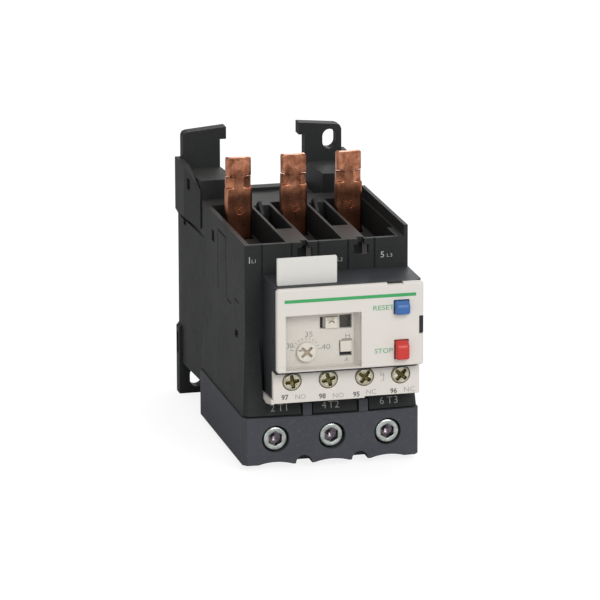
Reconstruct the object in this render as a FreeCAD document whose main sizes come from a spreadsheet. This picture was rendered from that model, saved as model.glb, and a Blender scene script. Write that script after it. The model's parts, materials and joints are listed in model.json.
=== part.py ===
import FreeCAD, Part
import math
import os
import re

import Sketcher

# Thermal overload relay, three poles, in millimetres.
# All lengths are first measured from the shroud: X across from the middle pole, Y back from the
# shroud's front face, Z up from the foot of the rear ears. Every finished piece is then moved along Y
# so that the frame's origin lies under the middle of the whole relay, on the surface it stands on.

sizes = {
    # overall and poles
    "overallWidth": 55.0,
    "polePitch": 17.5,
    "rearDepth": 95.0,            # shroud's front face to the mounting plane
    "footDrop": 1.8,              # the ears reach this far below the shroud
    "fitGap": 0.2,                # between casings that slide together
    "runningGap": 0.05,           # radial, shaft in hole
    "cutPast": 1.0,               # how far a cut runs past the face it opens
    "joinLap": 0.5,               # how far joined forms run into each other
    "smallRound": 0.3,
    # terminal shroud
    "shroudHeight": 14.8,
    "shroudDepth": 60.3,
    "shroudWall": 1.6,
    "shroudBow": 2.4,             # the corners lie this far behind the middle
    "screwSeat": 4.4,             # depth of the screw recess in the front wall
    "frontWall": 6.0,
    "chamberWidth": 15.6,
    "chamberDepth": 30.0,
    "screwHeight": 8.0,           # above the shroud's underside
    "screwRecess": 4.2,           # radius
    "entryWidth": 10.4,
    "fingerWidth": 2.8,
    "fingerHeight": 4.0,
    "fingerShift": 1.15,          # from the middle between two poles
    "notchRadius": 2.5,
    "archRadius": 18.0,
    "archRise": 0.8,
    # main casing
    "casingWidth": 50.8,
    "casingInset": 6.9,           # front wall behind the shroud's front face
    "casingTop": 67.3,            # above the shroud's underside
    "casingWall": 1.6,
    "rimRise": 3.5,
    "rimWall": 1.2,
    "cheekWall": 3.5,
    "cheekDepth": 10.0,
    "rearClearance": 8.5,         # underside of the rear part above the shroud's underside
    "plinthHeight": 4.9,          # lower edge of the module's bay above the seam
    "plinthInset": 0.4,
    "skirtRise": 24.0,            # the flare above the seam
    "tabGroove": 0.45,            # dark line round the three front tabs
    "tabGrooveDepth": 3.0,
    "pocketFloor": 59.0,          # above the shroud's underside
    "floorThickness": 1.6,
    "pocketRear": 59.0,           # rear wall of the blade pockets
    "towerFront": 67.0,
    "shelfRise": 6.1,             # front edge of a tower's top above the casing's top
    "shelfSlope": 1.5,            # fall of that top towards the hooks
    "towerInner": 13.8,
    "saddleDrop": 3.0,
    "saddleRadius": 90.0,
    "saddleDip": 1.1,
    "partitionWidth": 7.0,
    "partitionPlate": 16.4,
    "partitionWall": 0.9,
    "partitionSlot": 7.0,
    "finWidth": 7.0,
    "finRise": 1.6,
    "finThickness": 1.0,
    "keyholeWidth": 4.6,
    "keyholeNeck": 2.0,
    "keyholeRoof": 1.8,
    "keyholeHeight": 2.9,
    "keyholeDepth": 4.0,          # of the round hole below the opening
    "keyholeRim": 0.3,
    "keyholeShift": 2.05,
    "bossWidth": 7.3,
    "leftPanel": 5.1,             # from the casing's left side to its first groove
    "grooveWidth": 0.5,
    "grooveDepth": 0.5,
    "latchHoleBack": 16.2,
    "latchHoleRise": 36.1,
    "sideSlotFront": 48.4,
    "sideSlotRear": 84.4,
    "sideSlotRise": 58.2,
    "sideSlotLow": 3.4,           # the rear slot lies this much lower
    "sideSlotWidth": 3.2,
    "sideSlotTall": 3.6,
    "panelLeft": 32.0,
    "panelWidth": 11.0,
    "panelHead": 64.0,
    "panelFoot": 45.0,
    "lineWidth": 0.5,
    "lineDepth": 0.3,
    "markFront": 15.0,
    "markPitch": 10.0,
    "markLength": 5.6,
    "markRise": 47.2,
    # rear plate with hooks and ears
    "plateThickness": 4.4,
    "plateHalf": 26.6,
    "padHeight": 21.7,
    "padChamfer": 1.1,
    "padGroove": 0.8,
    "earWidth": 11.0,
    "slotRadius": 2.3,
    "slotLength": 6.4,
    "slotSpread": 43.7,           # between the two fixing slots, along X
    "slotRise": 75.5,             # between them, along Z
    "lowSlotHeight": 5.2,
    "hookReach": 2.0,
    "hookDepth": 3.9,
    "tabHalf": 25.75,
    "tabTop": 86.5,
    "tabSlope": 1.1,
    "tabChamfer": 1.5,
    "flangeRise": 1.6,
    "flangeFront": 66.0,
    "flangeFoot": 60.0,
    "flangeTaper": 16.0,          # length over which each side flange thickens
    "flangeSlotBack": 10.0,
    # control module
    "moduleWidth": 45.4,
    "moduleBottom": 21.3,         # above the shroud's underside
    "moduleTop": 57.9,
    "moduleWall": 1.2,
    "moduleCorner": 2.2,          # bevel of the module's right front corner
    "latchDrop": 10.8,
    "latchTall": 5.2,
    "coverReach": 12.0,           # cover's face in front of the shroud's front face
    "coverThickness": 1.6,
    "coverCorner": 0.9,
    "coverRound": 0.6,
    "topDip": 0.5,
    "coverBottom": 32.0,
    "stripReach": 7.0,
    "stripThickness": 1.8,
    "stripCorner": 0.4,
    "stripRear": 1.1,
    "stripStep": 0.5,
    "dividerWall": 1.2,
    "lipRise": 1.3,
    "lipWall": 0.8,
    "shelfWall": 0.6,
    "coverSeat": 0.1,
    "carrierPlate": 1.2,
    "carrierReach": 3.2,
    # setting recess and flap
    "recessWidth": 23.3,
    "recessMargin": 2.8,
    "recessHeight": 17.0,
    "recessLip": 0.6,
    "recessDepth": 4.5,
    "recessFloor": 1.2,
    "recessSlope": 1.3,
    "flapThickness": 1.0,
    "flapInset": 0.1,             # flap's face behind the cover's face
    "flapGap": 0.5,
    "flapPin": 0.5,
    "flapPinReach": 0.9,
    "flapPivotRise": 1.2,
    # dial, test slider, selector, flag
    "dialRadius": 3.0,
    "dialHead": 1.2,
    "dialShaft": 1.5,
    "dialCam": 3.2,
    "dialOffset": 0.7,
    "dialInset": 7.2,             # from the recess's left side
    "dialRise": 4.6,              # above the recess's foot
    "driverSlot": 0.9,
    "driverDepth": 0.7,
    "driverReach": 2.15,          # half the length of the dial's cross slots
    "testInset": 8.3,             # from the recess's right side
    "testRise": 13.2,
    "testWidth": 3.8,
    "testTall": 3.4,
    "testTravel": 1.4,
    "selectorInset": 3.8,
    "selectorRise": 5.6,
    "selectorWidth": 3.5,
    "selectorTall": 3.3,
    "selectorTravel": 1.3,
    "windowWidth": 3.8,
    "windowTall": 4.2,
    "windowRise": 13.2,
    "flagTravel": 2.5,
    # push buttons
    "buttonInset": 6.9,           # from the casing's right side
    "buttonProud": 2.6,
    "resetWidth": 4.3,
    "resetTall": 3.8,
    "resetDrop": 7.5,             # below the module's roof
    "resetTravel": 3.0,
    "stopWidth": 3.9,
    "stopTall": 5.5,
    "stopRise": 5.2,              # above the cover's foot
    "stopTravel": 2.5,
    "buttonGap": 0.3,
    "buttonFlange": 0.6,
    "flangeThickness": 1.0,
    "slideGap": 0.15,             # round the sliders in the recess floor
    "sliderProud": 0.8,
    "sliderFlange": 0.9,
    "sliderLip": 0.6,
    "plungerRadius": 1.1,
    "springWire": 0.4,
    "springGap": 0.35,
    "springTurns": 6,
    # marker plate
    "markerWidth": 18.4,
    "markerTall": 8.3,
    "markerThickness": 1.0,
    "markerReach": 7.0,
    "markerInset": 1.4,
    # auxiliary terminals
    "auxMargin": 0.2,             # from the module's side to the first terminal's field
    "auxRim": 0.3,                # strip above the head hole
    "auxHead": 2.85,
    "auxHeadTall": 2.7,
    "auxShank": 1.75,
    "auxHole": 3.0,
    "auxSlotReach": 2.0,
    "auxPlateInset": 1.3,         # from the edge of a terminal's field
    "auxClampInset": 1.7,
    "auxPlateThickness": 1.2,
    "auxPlateDepth": 1.0,
    "auxClampThickness": 1.0,
    "tailWidth": 3.2,
    "contactRise": 2.2,           # above the cover's foot
    "contactTall": 1.4,
    # contact gear
    "bridgeThickness": 0.6,
    "bridgeReach": 1.2,
    "contactGap": 1.5,
    "carriageThickness": 2.0,
    "carriageTall": 3.0,
    "tripTravel": 2.0,
    # current path
    "bladeDepth": 48.0,
    "bladeWidth": 7.8,
    "bladeThickness": 1.6,
    "bladeTop": 84.7,
    "bladeFlare": 0.3,            # the lower part is this much wider on each side
    "bladeCorner": 0.5,
    "slitDeep": 1.5,
    "slitTall": 0.35,
    "neckBottom": 75.0,
    "neckTop": 78.6,
    "bladeSlotGap": 1.1,          # floor slot in front of the blade
    "footFront": 36.0,
    "footThickness": 1.5,
    "bimetalThickness": 1.0,
    "bimetalWidth": 6.0,
    "bimetalTop": 52.0,
    "bimetalTip": 23.0,
    "legBottom": 49.2,
    "coilWire": 1.0,
    "heaterTurns": 5.75,
    "coilBottom": 29.2,
    "coilTop": 48.0,
    "barDepth": 17.0,
    "barThickness": 1.6,
    "barBottom": 3.0,
    "barHeight": 17.0,
    "riserTop": 32.0,
    # cage clamps and their screws
    "screwRadius": 2.5,
    "screwHead": 3.75,
    "screwHeadTall": 3.4,
    "screwRound": 0.5,
    "screwLength": 11.6,
    "hexAcross": 4.0,
    "hexDepth": 2.2,
    "cageWidth": 13.0,
    "cageTall": 11.0,
    "cageLift": 0.6,              # the cage's underside above its middle's mirror line
    "cageWall": 2.5,
    "cageWindow": 9.4,
    "cageFront": 10.4,
    "cageOpening": 15.6,
    # trip gear
    "trayThickness": 1.2,
    "trayGap": 0.4,
    "slideWidth": 2.2,
    "slideTall": 2.0,
    "fingerGap": 0.3,
    "fingerThickness": 1.2,
    "fingerTall": 3.6,
    "leverX": 8.0,
    "leverDepth": 20.0,
    "leverArm": 10.0,
    "leverHub": 3.0,
    "leverPin": 1.2,
    "leverTall": 4.0,
    "leverWidth": 2.8,
    "leverGap": 0.3,
    "pinRise": 3.0,
    "postWidth": 2.0,
    "pegWidth": 1.5,
    "pegRise": 2.5,
    "compOffset": 3.6,            # from the pin's axis to the compensating strip
    "compThickness": 0.8,
    "compReach": 16.0,
}

doc = FreeCAD.newDocument("ThermalOverloadRelay")
sheet = doc.addObject("Spreadsheet::Sheet", "Sizes")
for row, (alias, amount) in enumerate(sizes.items(), 1):
    sheet.set(f"A{row}", alias)
    sheet.set(f"B{row}", str(amount))
    sheet.setAlias(f"B{row}", alias)
doc.recompute()

# levels and places that several pieces share, as expressions over the sheet's names
originDepth = "((rearDepth - coverReach - buttonProud) / 2)"
overallHalf = "(overallWidth / 2)"
casingHalf = "(casingWidth / 2)"
innerHalf = "(casingWidth / 2 - casingWall)"
seam = "(footDrop + shroudHeight)"
wallTop = "(footDrop + casingTop)"
shelfTop = "(footDrop + casingTop + shelfRise)"
rearUnder = "(footDrop + rearClearance)"
floorTop = "(footDrop + pocketFloor)"
floorUnder = "(footDrop + pocketFloor - floorThickness)"
casingInner = "(casingInset + casingWall)"
cavityRear = "(shroudDepth - casingWall)"
plateFront = "(rearDepth - plateThickness)"
moduleLeft = "(casingWidth / 2 - moduleWidth)"
moduleMiddle = "(casingWidth / 2 - moduleWidth / 2)"
moduleFoot = "(footDrop + moduleBottom)"
moduleRoof = "(footDrop + moduleTop)"
coverFace = "(-coverReach)"
coverBack = "(coverThickness - coverReach)"
coverFoot = "(footDrop + coverBottom)"
stripFace = "(-stripReach)"
stripBack = "(stripThickness - stripReach)"
stripHead = "(footDrop + coverBottom - coverSeat - shelfWall)"
recessLeft = "(casingWidth / 2 - moduleWidth + recessMargin)"
recessRight = "(casingWidth / 2 - moduleWidth + recessMargin + recessWidth)"
recessBottom = "(footDrop + coverBottom + recessLip)"
recessTop = "(footDrop + coverBottom + recessLip + recessHeight)"
recessBack = "(recessDepth - coverReach)"
recessBehind = "(recessDepth + recessFloor - coverReach)"
flapDepth = "(flapInset + flapThickness / 2 - coverReach)"
dialX = "(casingWidth / 2 - moduleWidth + recessMargin + dialInset)"
dialZ = "(footDrop + coverBottom + recessLip + dialRise)"
selectorX = "(casingWidth / 2 - moduleWidth + recessMargin + recessWidth - selectorInset)"
selectorZ = "(footDrop + coverBottom + recessLip + selectorRise)"
windowZ = "(footDrop + coverBottom + recessLip + windowRise)"
testX = "(casingWidth / 2 - moduleWidth + recessMargin + recessWidth - testInset)"
testZ = "(footDrop + coverBottom + recessLip + testRise)"
buttonX = "(casingWidth / 2 - buttonInset)"
resetZ = "(footDrop + moduleTop - resetDrop)"
stopZ = "(footDrop + coverBottom + stopRise)"
carrierFront = "(-carrierReach)"
carrierBack = "(carrierPlate - carrierReach)"
barTop = "(footDrop + barHeight + barThickness)"
trayUnder = "(footDrop + barHeight + barThickness + trayGap)"
trayTop = "(footDrop + barHeight + barThickness + trayGap + trayThickness)"
slideFoot = "(footDrop + barHeight + barThickness + 1.5 * trayGap + trayThickness)"
slideHead = "(footDrop + barHeight + barThickness + 1.5 * trayGap + trayThickness + slideTall)"
legBack = "(footFront + footThickness)"
coilDepth = "(footFront + footThickness + bimetalWidth / 2)"
riserFront = "(footFront + 1.5 * footThickness + bimetalWidth + coilWire / 2 + fitGap)"
tailBack = "(auxPlateDepth + auxPlateThickness)"
carriageFront = "(auxPlateDepth + auxPlateThickness + contactGap + bridgeThickness)"
carriageBack = "(auxPlateDepth + auxPlateThickness + contactGap + bridgeThickness + carriageThickness)"
contactFoot = "(footDrop + coverBottom + contactRise)"
auxPitch = "((moduleWidth - 2 * auxMargin) / 4)"
auxZ = "(footDrop + coverBottom - coverSeat - shelfWall - auxRim - auxHole)"
auxPlateHalf = f"({auxPitch} / 2 - auxPlateInset)"
auxClampHalf = f"({auxPitch} / 2 - auxClampInset)"
poles = {1: "(-polePitch)", 2: "0", 3: "(polePitch)"}
auxPlaces = {
    97: f"({moduleMiddle} - 1.5 * {auxPitch})",
    98: f"({moduleMiddle} - 0.5 * {auxPitch})",
    95: f"({moduleMiddle} + 0.5 * {auxPitch})",
    96: f"({moduleMiddle} + 1.5 * {auxPitch})",
}

flangeFront = f"({coverBack} + fitGap)"
sliderCap = (f"{recessBack} - sliderProud", f"{recessBehind} + 2 * slideGap")
sliderBehind = (f"{recessBehind} + slideGap", f"{recessBehind} + slideGap + sliderFlange")
leverFoot = f"({slideHead} + leverGap)"
leverHead = f"({slideHead} + leverGap + leverTall)"
compFace = "(leverX + compOffset)"
compBack = "(leverX + compOffset + compThickness)"
postFront = "(leverDepth - leverWidth + leverGap - runningGap)"
crossAngles = (37, 127)           # degrees, of the dial's cross slots
pointerAngle = 157

nodes = []


def bound(text):
    """The expression with every size named as a cell of the sheet."""
    return re.sub(r"[A-Za-z]\w*",
                  lambda word: "Sizes." + word.group() if word.group() in sizes else word.group(), text)


def block(name, across, along, upward):
    """A box between two expressions on each axis."""
    part = doc.addObject("Part::Box", name)
    spans = (("Length", across, "x"), ("Width", along, "y"), ("Height", upward, "z"))
    for dimension, (low, high), axis in spans:
        part.setExpression(dimension, bound(f"({high}) - ({low})"))
        part.setExpression("Placement.Base." + axis, bound(low))
    return part


turns = {
    "x": FreeCAD.Rotation(FreeCAD.Vector(0, 1, 0), 90),
    "y": FreeCAD.Rotation(FreeCAD.Vector(1, 0, 0), -90),
    "z": FreeCAD.Rotation(),
}


def rod(name, direction, radius, low, high, **centre):
    """A cylinder along one axis from low to high, with its centre given on the other two."""
    part = doc.addObject("Part::Cylinder", name)
    part.Placement = FreeCAD.Placement(FreeCAD.Vector(), turns[direction])
    part.setExpression("Radius", bound(radius))
    part.setExpression("Height", bound(f"({high}) - ({low})"))
    centre[direction] = low
    for axis, place in centre.items():
        part.setExpression("Placement.Base." + axis, bound(place))
    return part


def coil(name, direction, radius, wire, rounds, low, high, **centre):
    """Round wire wound about one axis from low to high, with its centre given on the other two."""
    path = doc.addObject("Part::Helix", name + "Path")
    path.Placement = FreeCAD.Placement(FreeCAD.Vector(), turns[direction])
    path.setExpression("Pitch", bound(f"(({high}) - ({low})) / {rounds}"))
    path.setExpression("Height", bound(f"({high}) - ({low})"))
    path.setExpression("Radius", bound(radius))
    section = doc.addObject("Part::Circle", name + "Section")
    crossways = FreeCAD.Rotation(FreeCAD.Vector(1, 0, 0), 90) if direction == "z" else FreeCAD.Rotation()
    section.Placement = FreeCAD.Placement(FreeCAD.Vector(), crossways)
    section.setExpression("Radius", bound(wire))
    centre[direction] = low
    for axis, place in centre.items():
        path.setExpression("Placement.Base." + axis, bound(place))
        start = f"{place} + {radius}" if axis == "x" else place
        section.setExpression("Placement.Base." + axis, bound(start))
    doc.recompute()
    sweep = doc.addObject("Part::Sweep", name)
    sweep.Sections = [section]
    sweep.Spine = (path, [f"Edge{number}" for number in range(1, len(path.Shape.Edges) + 1)])
    sweep.Solid = True
    sweep.Frenet = True
    return sweep


def drawOutline(sketch, corners):
    """A closed outline of straight lines whose corners are bound to expressions."""
    count = len(corners)
    ring = []
    for index in range(count):
        angle = 2 * math.pi * index / count
        ring.append(FreeCAD.Vector(math.cos(angle), math.sin(angle), 0))
    for index in range(count):
        sketch.addGeometry(Part.LineSegment(ring[index], ring[(index + 1) % count]))
    for index in range(count):
        sketch.addConstraint(Sketcher.Constraint("Coincident", index, 2, (index + 1) % count, 1))
    for index, (right, up) in enumerate(corners):
        for kind, expression, start in (("DistanceX", right, ring[index].x),
                                        ("DistanceY", up, ring[index].y)):
            number = sketch.addConstraint(Sketcher.Constraint(kind, -1, 1, index, 1, start))
            sketch.setExpression(f"Constraints[{number}]", bound(expression))


def originPlane(body, role):
    return [feature for feature in body.Origin.OriginFeatures if feature.Role == role][0]


def prism(name, role, corners, low, high):
    """A body: an outline on one origin plane, padded along its normal axis from low to high."""
    body = doc.addObject("PartDesign::Body", name)
    sketch = body.newObject("Sketcher::SketchObject", name + "Outline")
    sketch.AttachmentSupport = [(originPlane(body, role), "")]
    sketch.MapMode = "FlatFace"
    drawOutline(sketch, corners)
    frontal = role == "XZ_Plane"
    sketch.setExpression("AttachmentOffset.Base.z", bound(f"{'-' if frontal else ''}({low})"))
    pad = body.newObject("PartDesign::Pad", name + "Pad")
    pad.Profile = sketch
    pad.Reversed = frontal
    pad.setExpression("Length", bound(f"({high}) - ({low})"))
    return body


def joined(name, pieces):
    part = doc.addObject("Part::MultiFuse", name)
    part.Shapes = pieces
    part.Refine = True
    return part


def without(name, base, tools):
    """The base with every tool cut away."""
    tool = tools[0] if len(tools) == 1 else joined(name + "Tools", tools)
    part = doc.addObject("Part::Cut", name)
    part.Base = base
    part.Tool = tool
    part.Refine = True
    return part


def broken(name, base, radius, chosen, kind="Part::Fillet"):
    """Rounds, or with Part::Chamfer bevels, the edges that the test picks."""
    doc.recompute()
    part = doc.addObject(kind, name)
    part.Base = base
    part.Edges = [
        (number, sizes[radius], sizes[radius])
        for number, edge in enumerate(base.Shape.Edges, 1)
        if chosen(edge)
    ]
    return part


def node(label, part):
    """Names a finished piece and moves it from the shroud's front to the relay's own origin."""
    part.Label = label
    bindings = {path.lstrip("."): text for path, text in part.ExpressionEngine}
    own = bindings.get("Placement.Base.y", "0")
    part.setExpression("Placement.Base.y", f"{own} - {bound(originDepth)}")
    nodes.append(part)
    return part


# ---- lower terminal shroud -------------------------------------------------------------------

def shroudCorners(inset):
    """Plan of the bowed front and straight sides, drawn in by an inset."""
    side = f"({overallHalf} - {inset})"
    knee = f"({overallHalf} - {inset} - shroudBow / 2)"
    return [
        (f"-{side}", "shroudDepth"),
        (f"-{side}", f"shroudBow + {inset}"),
        (f"-{knee}", f"0.36 * shroudBow + {inset}"),
        ("-polePitch / 2", inset),
        ("polePitch / 2", inset),
        (knee, f"0.36 * shroudBow + {inset}"),
        (side, f"shroudBow + {inset}"),
        (side, "shroudDepth"),
    ]


def fingerPlaces():
    """The shroud's two fingers rise between the poles."""
    return [
        ("Left", "(fingerShift - polePitch / 2)"),
        ("Right", "(fingerShift + polePitch / 2)"),
    ]


def makeShroud():
    shell = prism("ShroudShell", "XY_Plane", shroudCorners("0"), "footDrop", seam)
    inner = "footDrop + shroudWall"
    above = f"{seam} + cutPast"
    solids = [shell]
    cuts = []
    for pole, place in poles.items():
        tag = f"Shroud{pole}"
        cuts.append(block(tag + "Chamber", (f"{place} - chamberWidth / 2", f"{place} + chamberWidth / 2"),
                          ("frontWall", "frontWall + chamberDepth"), (inner, above)))
        cuts.append(block(tag + "Entry", (f"{place} - entryWidth / 2", f"{place} + entryWidth / 2"),
                          ("barDepth + barThickness + fitGap", "cageFront + cageWall + cageOpening"),
                          ("footDrop - cutPast", f"{inner} + cutPast")))
        height = "footDrop + screwHeight"
        cuts.append(rod(tag + "Recess", "y", "screwRecess", "-cutPast", "screwSeat", x=place, z=height))
        cuts.append(rod(tag + "Hole", "y", "screwRadius + runningGap", "screwSeat - cutPast",
                        "frontWall + cutPast",
                        x=place, z=height))
        cuts.append(rod(tag + "Arch", "y", "archRadius", "-cutPast", "frontWall - cutPast",
                        x=place, z="footDrop + archRise - archRadius"))
    for index, place in enumerate(("-polePitch / 2", "polePitch / 2")):
        cuts.append(rod(f"ShroudNotch{index}", "y", "notchRadius", "-cutPast", "screwSeat", x=place,
                        z="footDrop"))
    cuts.append(block("ShroudRear", (f"shroudWall - {overallHalf}", f"{overallHalf} - shroudWall"),
                      ("frontWall + chamberDepth + shroudWall", "shroudDepth - shroudWall"), (inner,
                                                                                              above)))
    for side, place in fingerPlaces():
        solids.append(block("ShroudFinger" + side,
                            (f"{place} - fingerWidth / 2", f"{place} + fingerWidth / 2"),
                            ("plinthInset", "plinthInset + fingerWidth"), (f"{seam} - cutPast",
                                                                           f"{seam} + fingerHeight")))
    node("terminal_shroud", without("TerminalShroud", joined("ShroudBlank", solids), cuts))


# ---- main casing -----------------------------------------------------------------------------

def casingBlanks():
    """Outer forms: pole block, rear block with its saddle, towers, right rim and flared skirt."""
    sides = (f"-{casingHalf}", casingHalf)
    saddle = f"{wallTop} - saddleDrop"
    rear = block("RearBlank", sides, ("shroudDepth + fitGap", plateFront), (rearUnder, saddle))
    dip = rod("Saddle", "y", "saddleRadius", "towerFront + moduleWall", "rearDepth",
              x="0", z=f"{saddle} + saddleRadius - saddleDip")
    blanks = [
        block("PoleBlock", sides, ("casingInset", "towerFront"), (seam, wallTop)),
        without("RearBlock", rear, [dip]),
        block("RightRim", (f"{casingHalf} - rimWall", casingHalf), ("casingInset", "pocketRear + joinLap"),
              (f"{wallTop} - joinLap", f"{wallTop} + rimRise")),
        skirt(),
    ]
    tower = [
        ("towerFront", f"{saddle} - joinLap"),
        (plateFront, f"{saddle} - joinLap"),
        (plateFront, f"{shelfTop} - shelfSlope"),
        ("towerFront", shelfTop),
    ]
    cheek = [
        (f"-{casingHalf}", "shroudDepth + fitGap"),
        (casingHalf, "shroudDepth + fitGap"),
        ("plateHalf", plateFront),
        ("-plateHalf", plateFront),
    ]
    blanks.append(prism("RearCheeks", "XY_Plane", cheek, rearUnder, "flangeFoot - flangeRise - fitGap"))
    blanks.append(prism("TowerLeft", "YZ_Plane", tower, f"-{casingHalf}", "-towerInner"))
    blanks.append(prism("TowerRight", "YZ_Plane", tower, "towerInner", casingHalf))
    return blanks


def skirt():
    """The casing flares out and forward towards the seam, where it meets the shroud's bowed front."""
    foot = shroudCorners("plinthInset")
    head = [
        (f"-{casingHalf}", "shroudDepth"),
        (f"-{casingHalf}", "casingInset"),
        (f"joinLap - {casingHalf}", "casingInset"),
        ("-polePitch / 2", "casingInset"),
        ("polePitch / 2", "casingInset"),
        (f"{casingHalf} - joinLap", "casingInset"),
        (casingHalf, "casingInset"),
        (casingHalf, "shroudDepth"),
    ]
    flare = doc.addObject("Part::Loft", "SkirtFlare")
    flare.Sections = [outline("SkirtFoot", foot, seam), outline("SkirtHead", head, f"{seam} + skirtRise")]
    flare.Solid = True
    flare.Ruled = True
    bay = block("ModuleBay", (f"{moduleLeft} - cutPast", f"{overallHalf} + cutPast"),
                ("-cutPast", "casingInset"),
                (f"{seam} + plinthHeight", f"{seam} + skirtRise + cutPast"))
    return without("Skirt", flare, [bay])


def outline(name, corners, level):
    """A closed outline in plan at one level."""
    sketch = doc.addObject("Sketcher::SketchObject", name)
    drawOutline(sketch, corners)
    sketch.setExpression("Placement.Base.z", bound(level))
    return sketch


def pocketCuts():
    """Three open-topped blade pockets; the right one is narrower near its front."""
    edge = "(polePitch / 2 + partitionWidth / 2)"
    middle = "(polePitch / 2 - partitionWidth / 2)"
    right = f"{casingHalf} - cheekWall"
    top = (floorTop, f"{wallTop} + cutPast")
    along = (casingInner, "pocketRear")
    return [
        block("PocketLeft", (f"-{innerHalf}", f"-{edge}"), along, top),
        block("PocketMiddle", (f"-{middle}", middle), along, top),
        block("PocketRight", (edge, right), along, top),
        block("PocketRightWide", (f"{right} - cutPast", innerHalf),
              (f"{casingInner} + cheekDepth", "pocketRear"), top),
    ]


def partitionCuts():
    """Behind its top plate each partition is two thin walls with a slot between them."""
    cuts = []
    for index, place in enumerate(("-polePitch / 2", "polePitch / 2")):
        half = "(partitionWidth / 2 - partitionWall)"
        cuts.append(block(f"PartitionSlot{index}", (f"{place} - {half}", f"{place} + {half}"),
                          (f"{casingInner} + partitionPlate", "pocketRear - finWidth / 2"),
                          (f"{wallTop} - partitionSlot", f"{wallTop} + cutPast")))
    return cuts


def partitionFins():
    """A small pointed fin stands at the rear of each partition slot."""
    fins = []
    foot = f"{wallTop} - partitionSlot - joinLap"
    back = "(pocketRear - finRise)"
    for index, place in enumerate(("-polePitch / 2", "polePitch / 2")):
        corners = [
            (f"{back} - finWidth", foot),
            (back, foot),
            (back, wallTop),
            (f"{back} - finWidth * 0.4", f"{wallTop} + finRise"),
            (f"{back} - finWidth", f"{wallTop} - finRise"),
        ]
        fins.append(prism(f"PartitionFin{index}", "YZ_Plane", corners, f"{place} - 1.2 * finThickness",
                          f"{place} - 0.2 * finThickness"))
    return fins


def keyholeCuts():
    """A round hole under the front edge of each partition, open to the front, with a narrow neck above."""
    cuts = []
    front = "casingInset - cutPast"
    head = f"{wallTop} + cutPast"
    for index, place in enumerate(("-polePitch / 2 + keyholeShift", "polePitch / 2 + keyholeShift")):
        roof = f"{wallTop} - keyholeRoof"
        foot = f"{wallTop} - keyholeRoof - keyholeHeight"
        middle = "(casingInset + keyholeRim + keyholeWidth / 2)"
        cuts.append(rod(f"Keyhole{index}", "z", "keyholeWidth / 2", f"{foot} - keyholeDepth", roof, x=place,
                        y=middle))
        cuts.append(block(f"KeyholeMouth{index}",
                          (f"{place} - keyholeWidth / 2", f"{place} + keyholeWidth / 2"),
                          (front, middle), (foot, roof)))
        cuts.append(block(f"KeyholeNeck{index}", (f"{place} - keyholeNeck / 2",
                                                  f"{place} + keyholeNeck / 2"),
                          (front, middle), (f"{roof} - joinLap", head)))
        for side, sign in (("A", "-"), ("B", "+")):
            edge = f"{place} {sign} (bossWidth / 2 + grooveWidth)"
            cuts.append(block(f"BossGroove{index}{side}",
                              (f"{edge} - grooveWidth / 2", f"{edge} + grooveWidth / 2"),
                              (front, "casingInset + grooveDepth"), (moduleRoof, head)))
    left = f"(leftPanel - {casingHalf})"
    cuts.append(block("LeftGroove", (left, f"{left} + grooveWidth"), (front, "casingInset + grooveDepth"),
                      (moduleRoof, head)))
    return cuts


def sideCuts():
    """Latch hole, two slots, a shallow panel line and two short marks on each side wall."""
    slotHead = "sideSlotRise + sideSlotTall"
    panelRear = "panelLeft + panelWidth"
    forms = (
        ("LatchHole", "latchHoleBack", "latchHoleBack + sideSlotTall", "latchHoleRise",
         "latchHoleRise + sideSlotWidth / 1.5", "casingWall + cutPast"),
        ("SlotFront", "sideSlotFront", "sideSlotFront + sideSlotWidth", "sideSlotRise", slotHead,
         "casingWall * 0.75"),
        ("SlotRear", "sideSlotRear", "sideSlotRear + sideSlotWidth", "sideSlotRise - sideSlotLow",
         f"{slotHead} - sideSlotLow - lineWidth", "casingWall * 0.75"),
        ("PanelHead", "panelLeft", f"{panelRear} + lineWidth", "panelHead - lineWidth", "panelHead",
         "lineDepth"),
        ("PanelFront", "panelLeft", "panelLeft + lineWidth", "panelFoot", "panelHead", "lineDepth"),
        ("PanelRear", panelRear, f"{panelRear} + lineWidth", "panelFoot", "panelHead", "lineDepth"),
        ("MarkFront", "markFront", "markFront + markLength", "markRise", "markRise + lineWidth",
         "lineDepth"),
        ("MarkRear", "markFront + markPitch", "markFront + markPitch + markLength",
         "markRise - markLength / 2", "markRise - markLength / 2 + lineWidth", "lineDepth"),
    )
    cuts = []
    for name, front, back, low, high, depth in forms:
        height = (f"footDrop + {low}", f"footDrop + {high}")
        cuts.append(block(name + "Left", ("-plateHalf - cutPast", f"-{casingHalf} + {depth}"),
                          (front, back), height))
        cuts.append(block(name + "Right", (f"{casingHalf} - ({depth})", "plateHalf + cutPast"),
                          (front, back), height))
    return cuts


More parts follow.
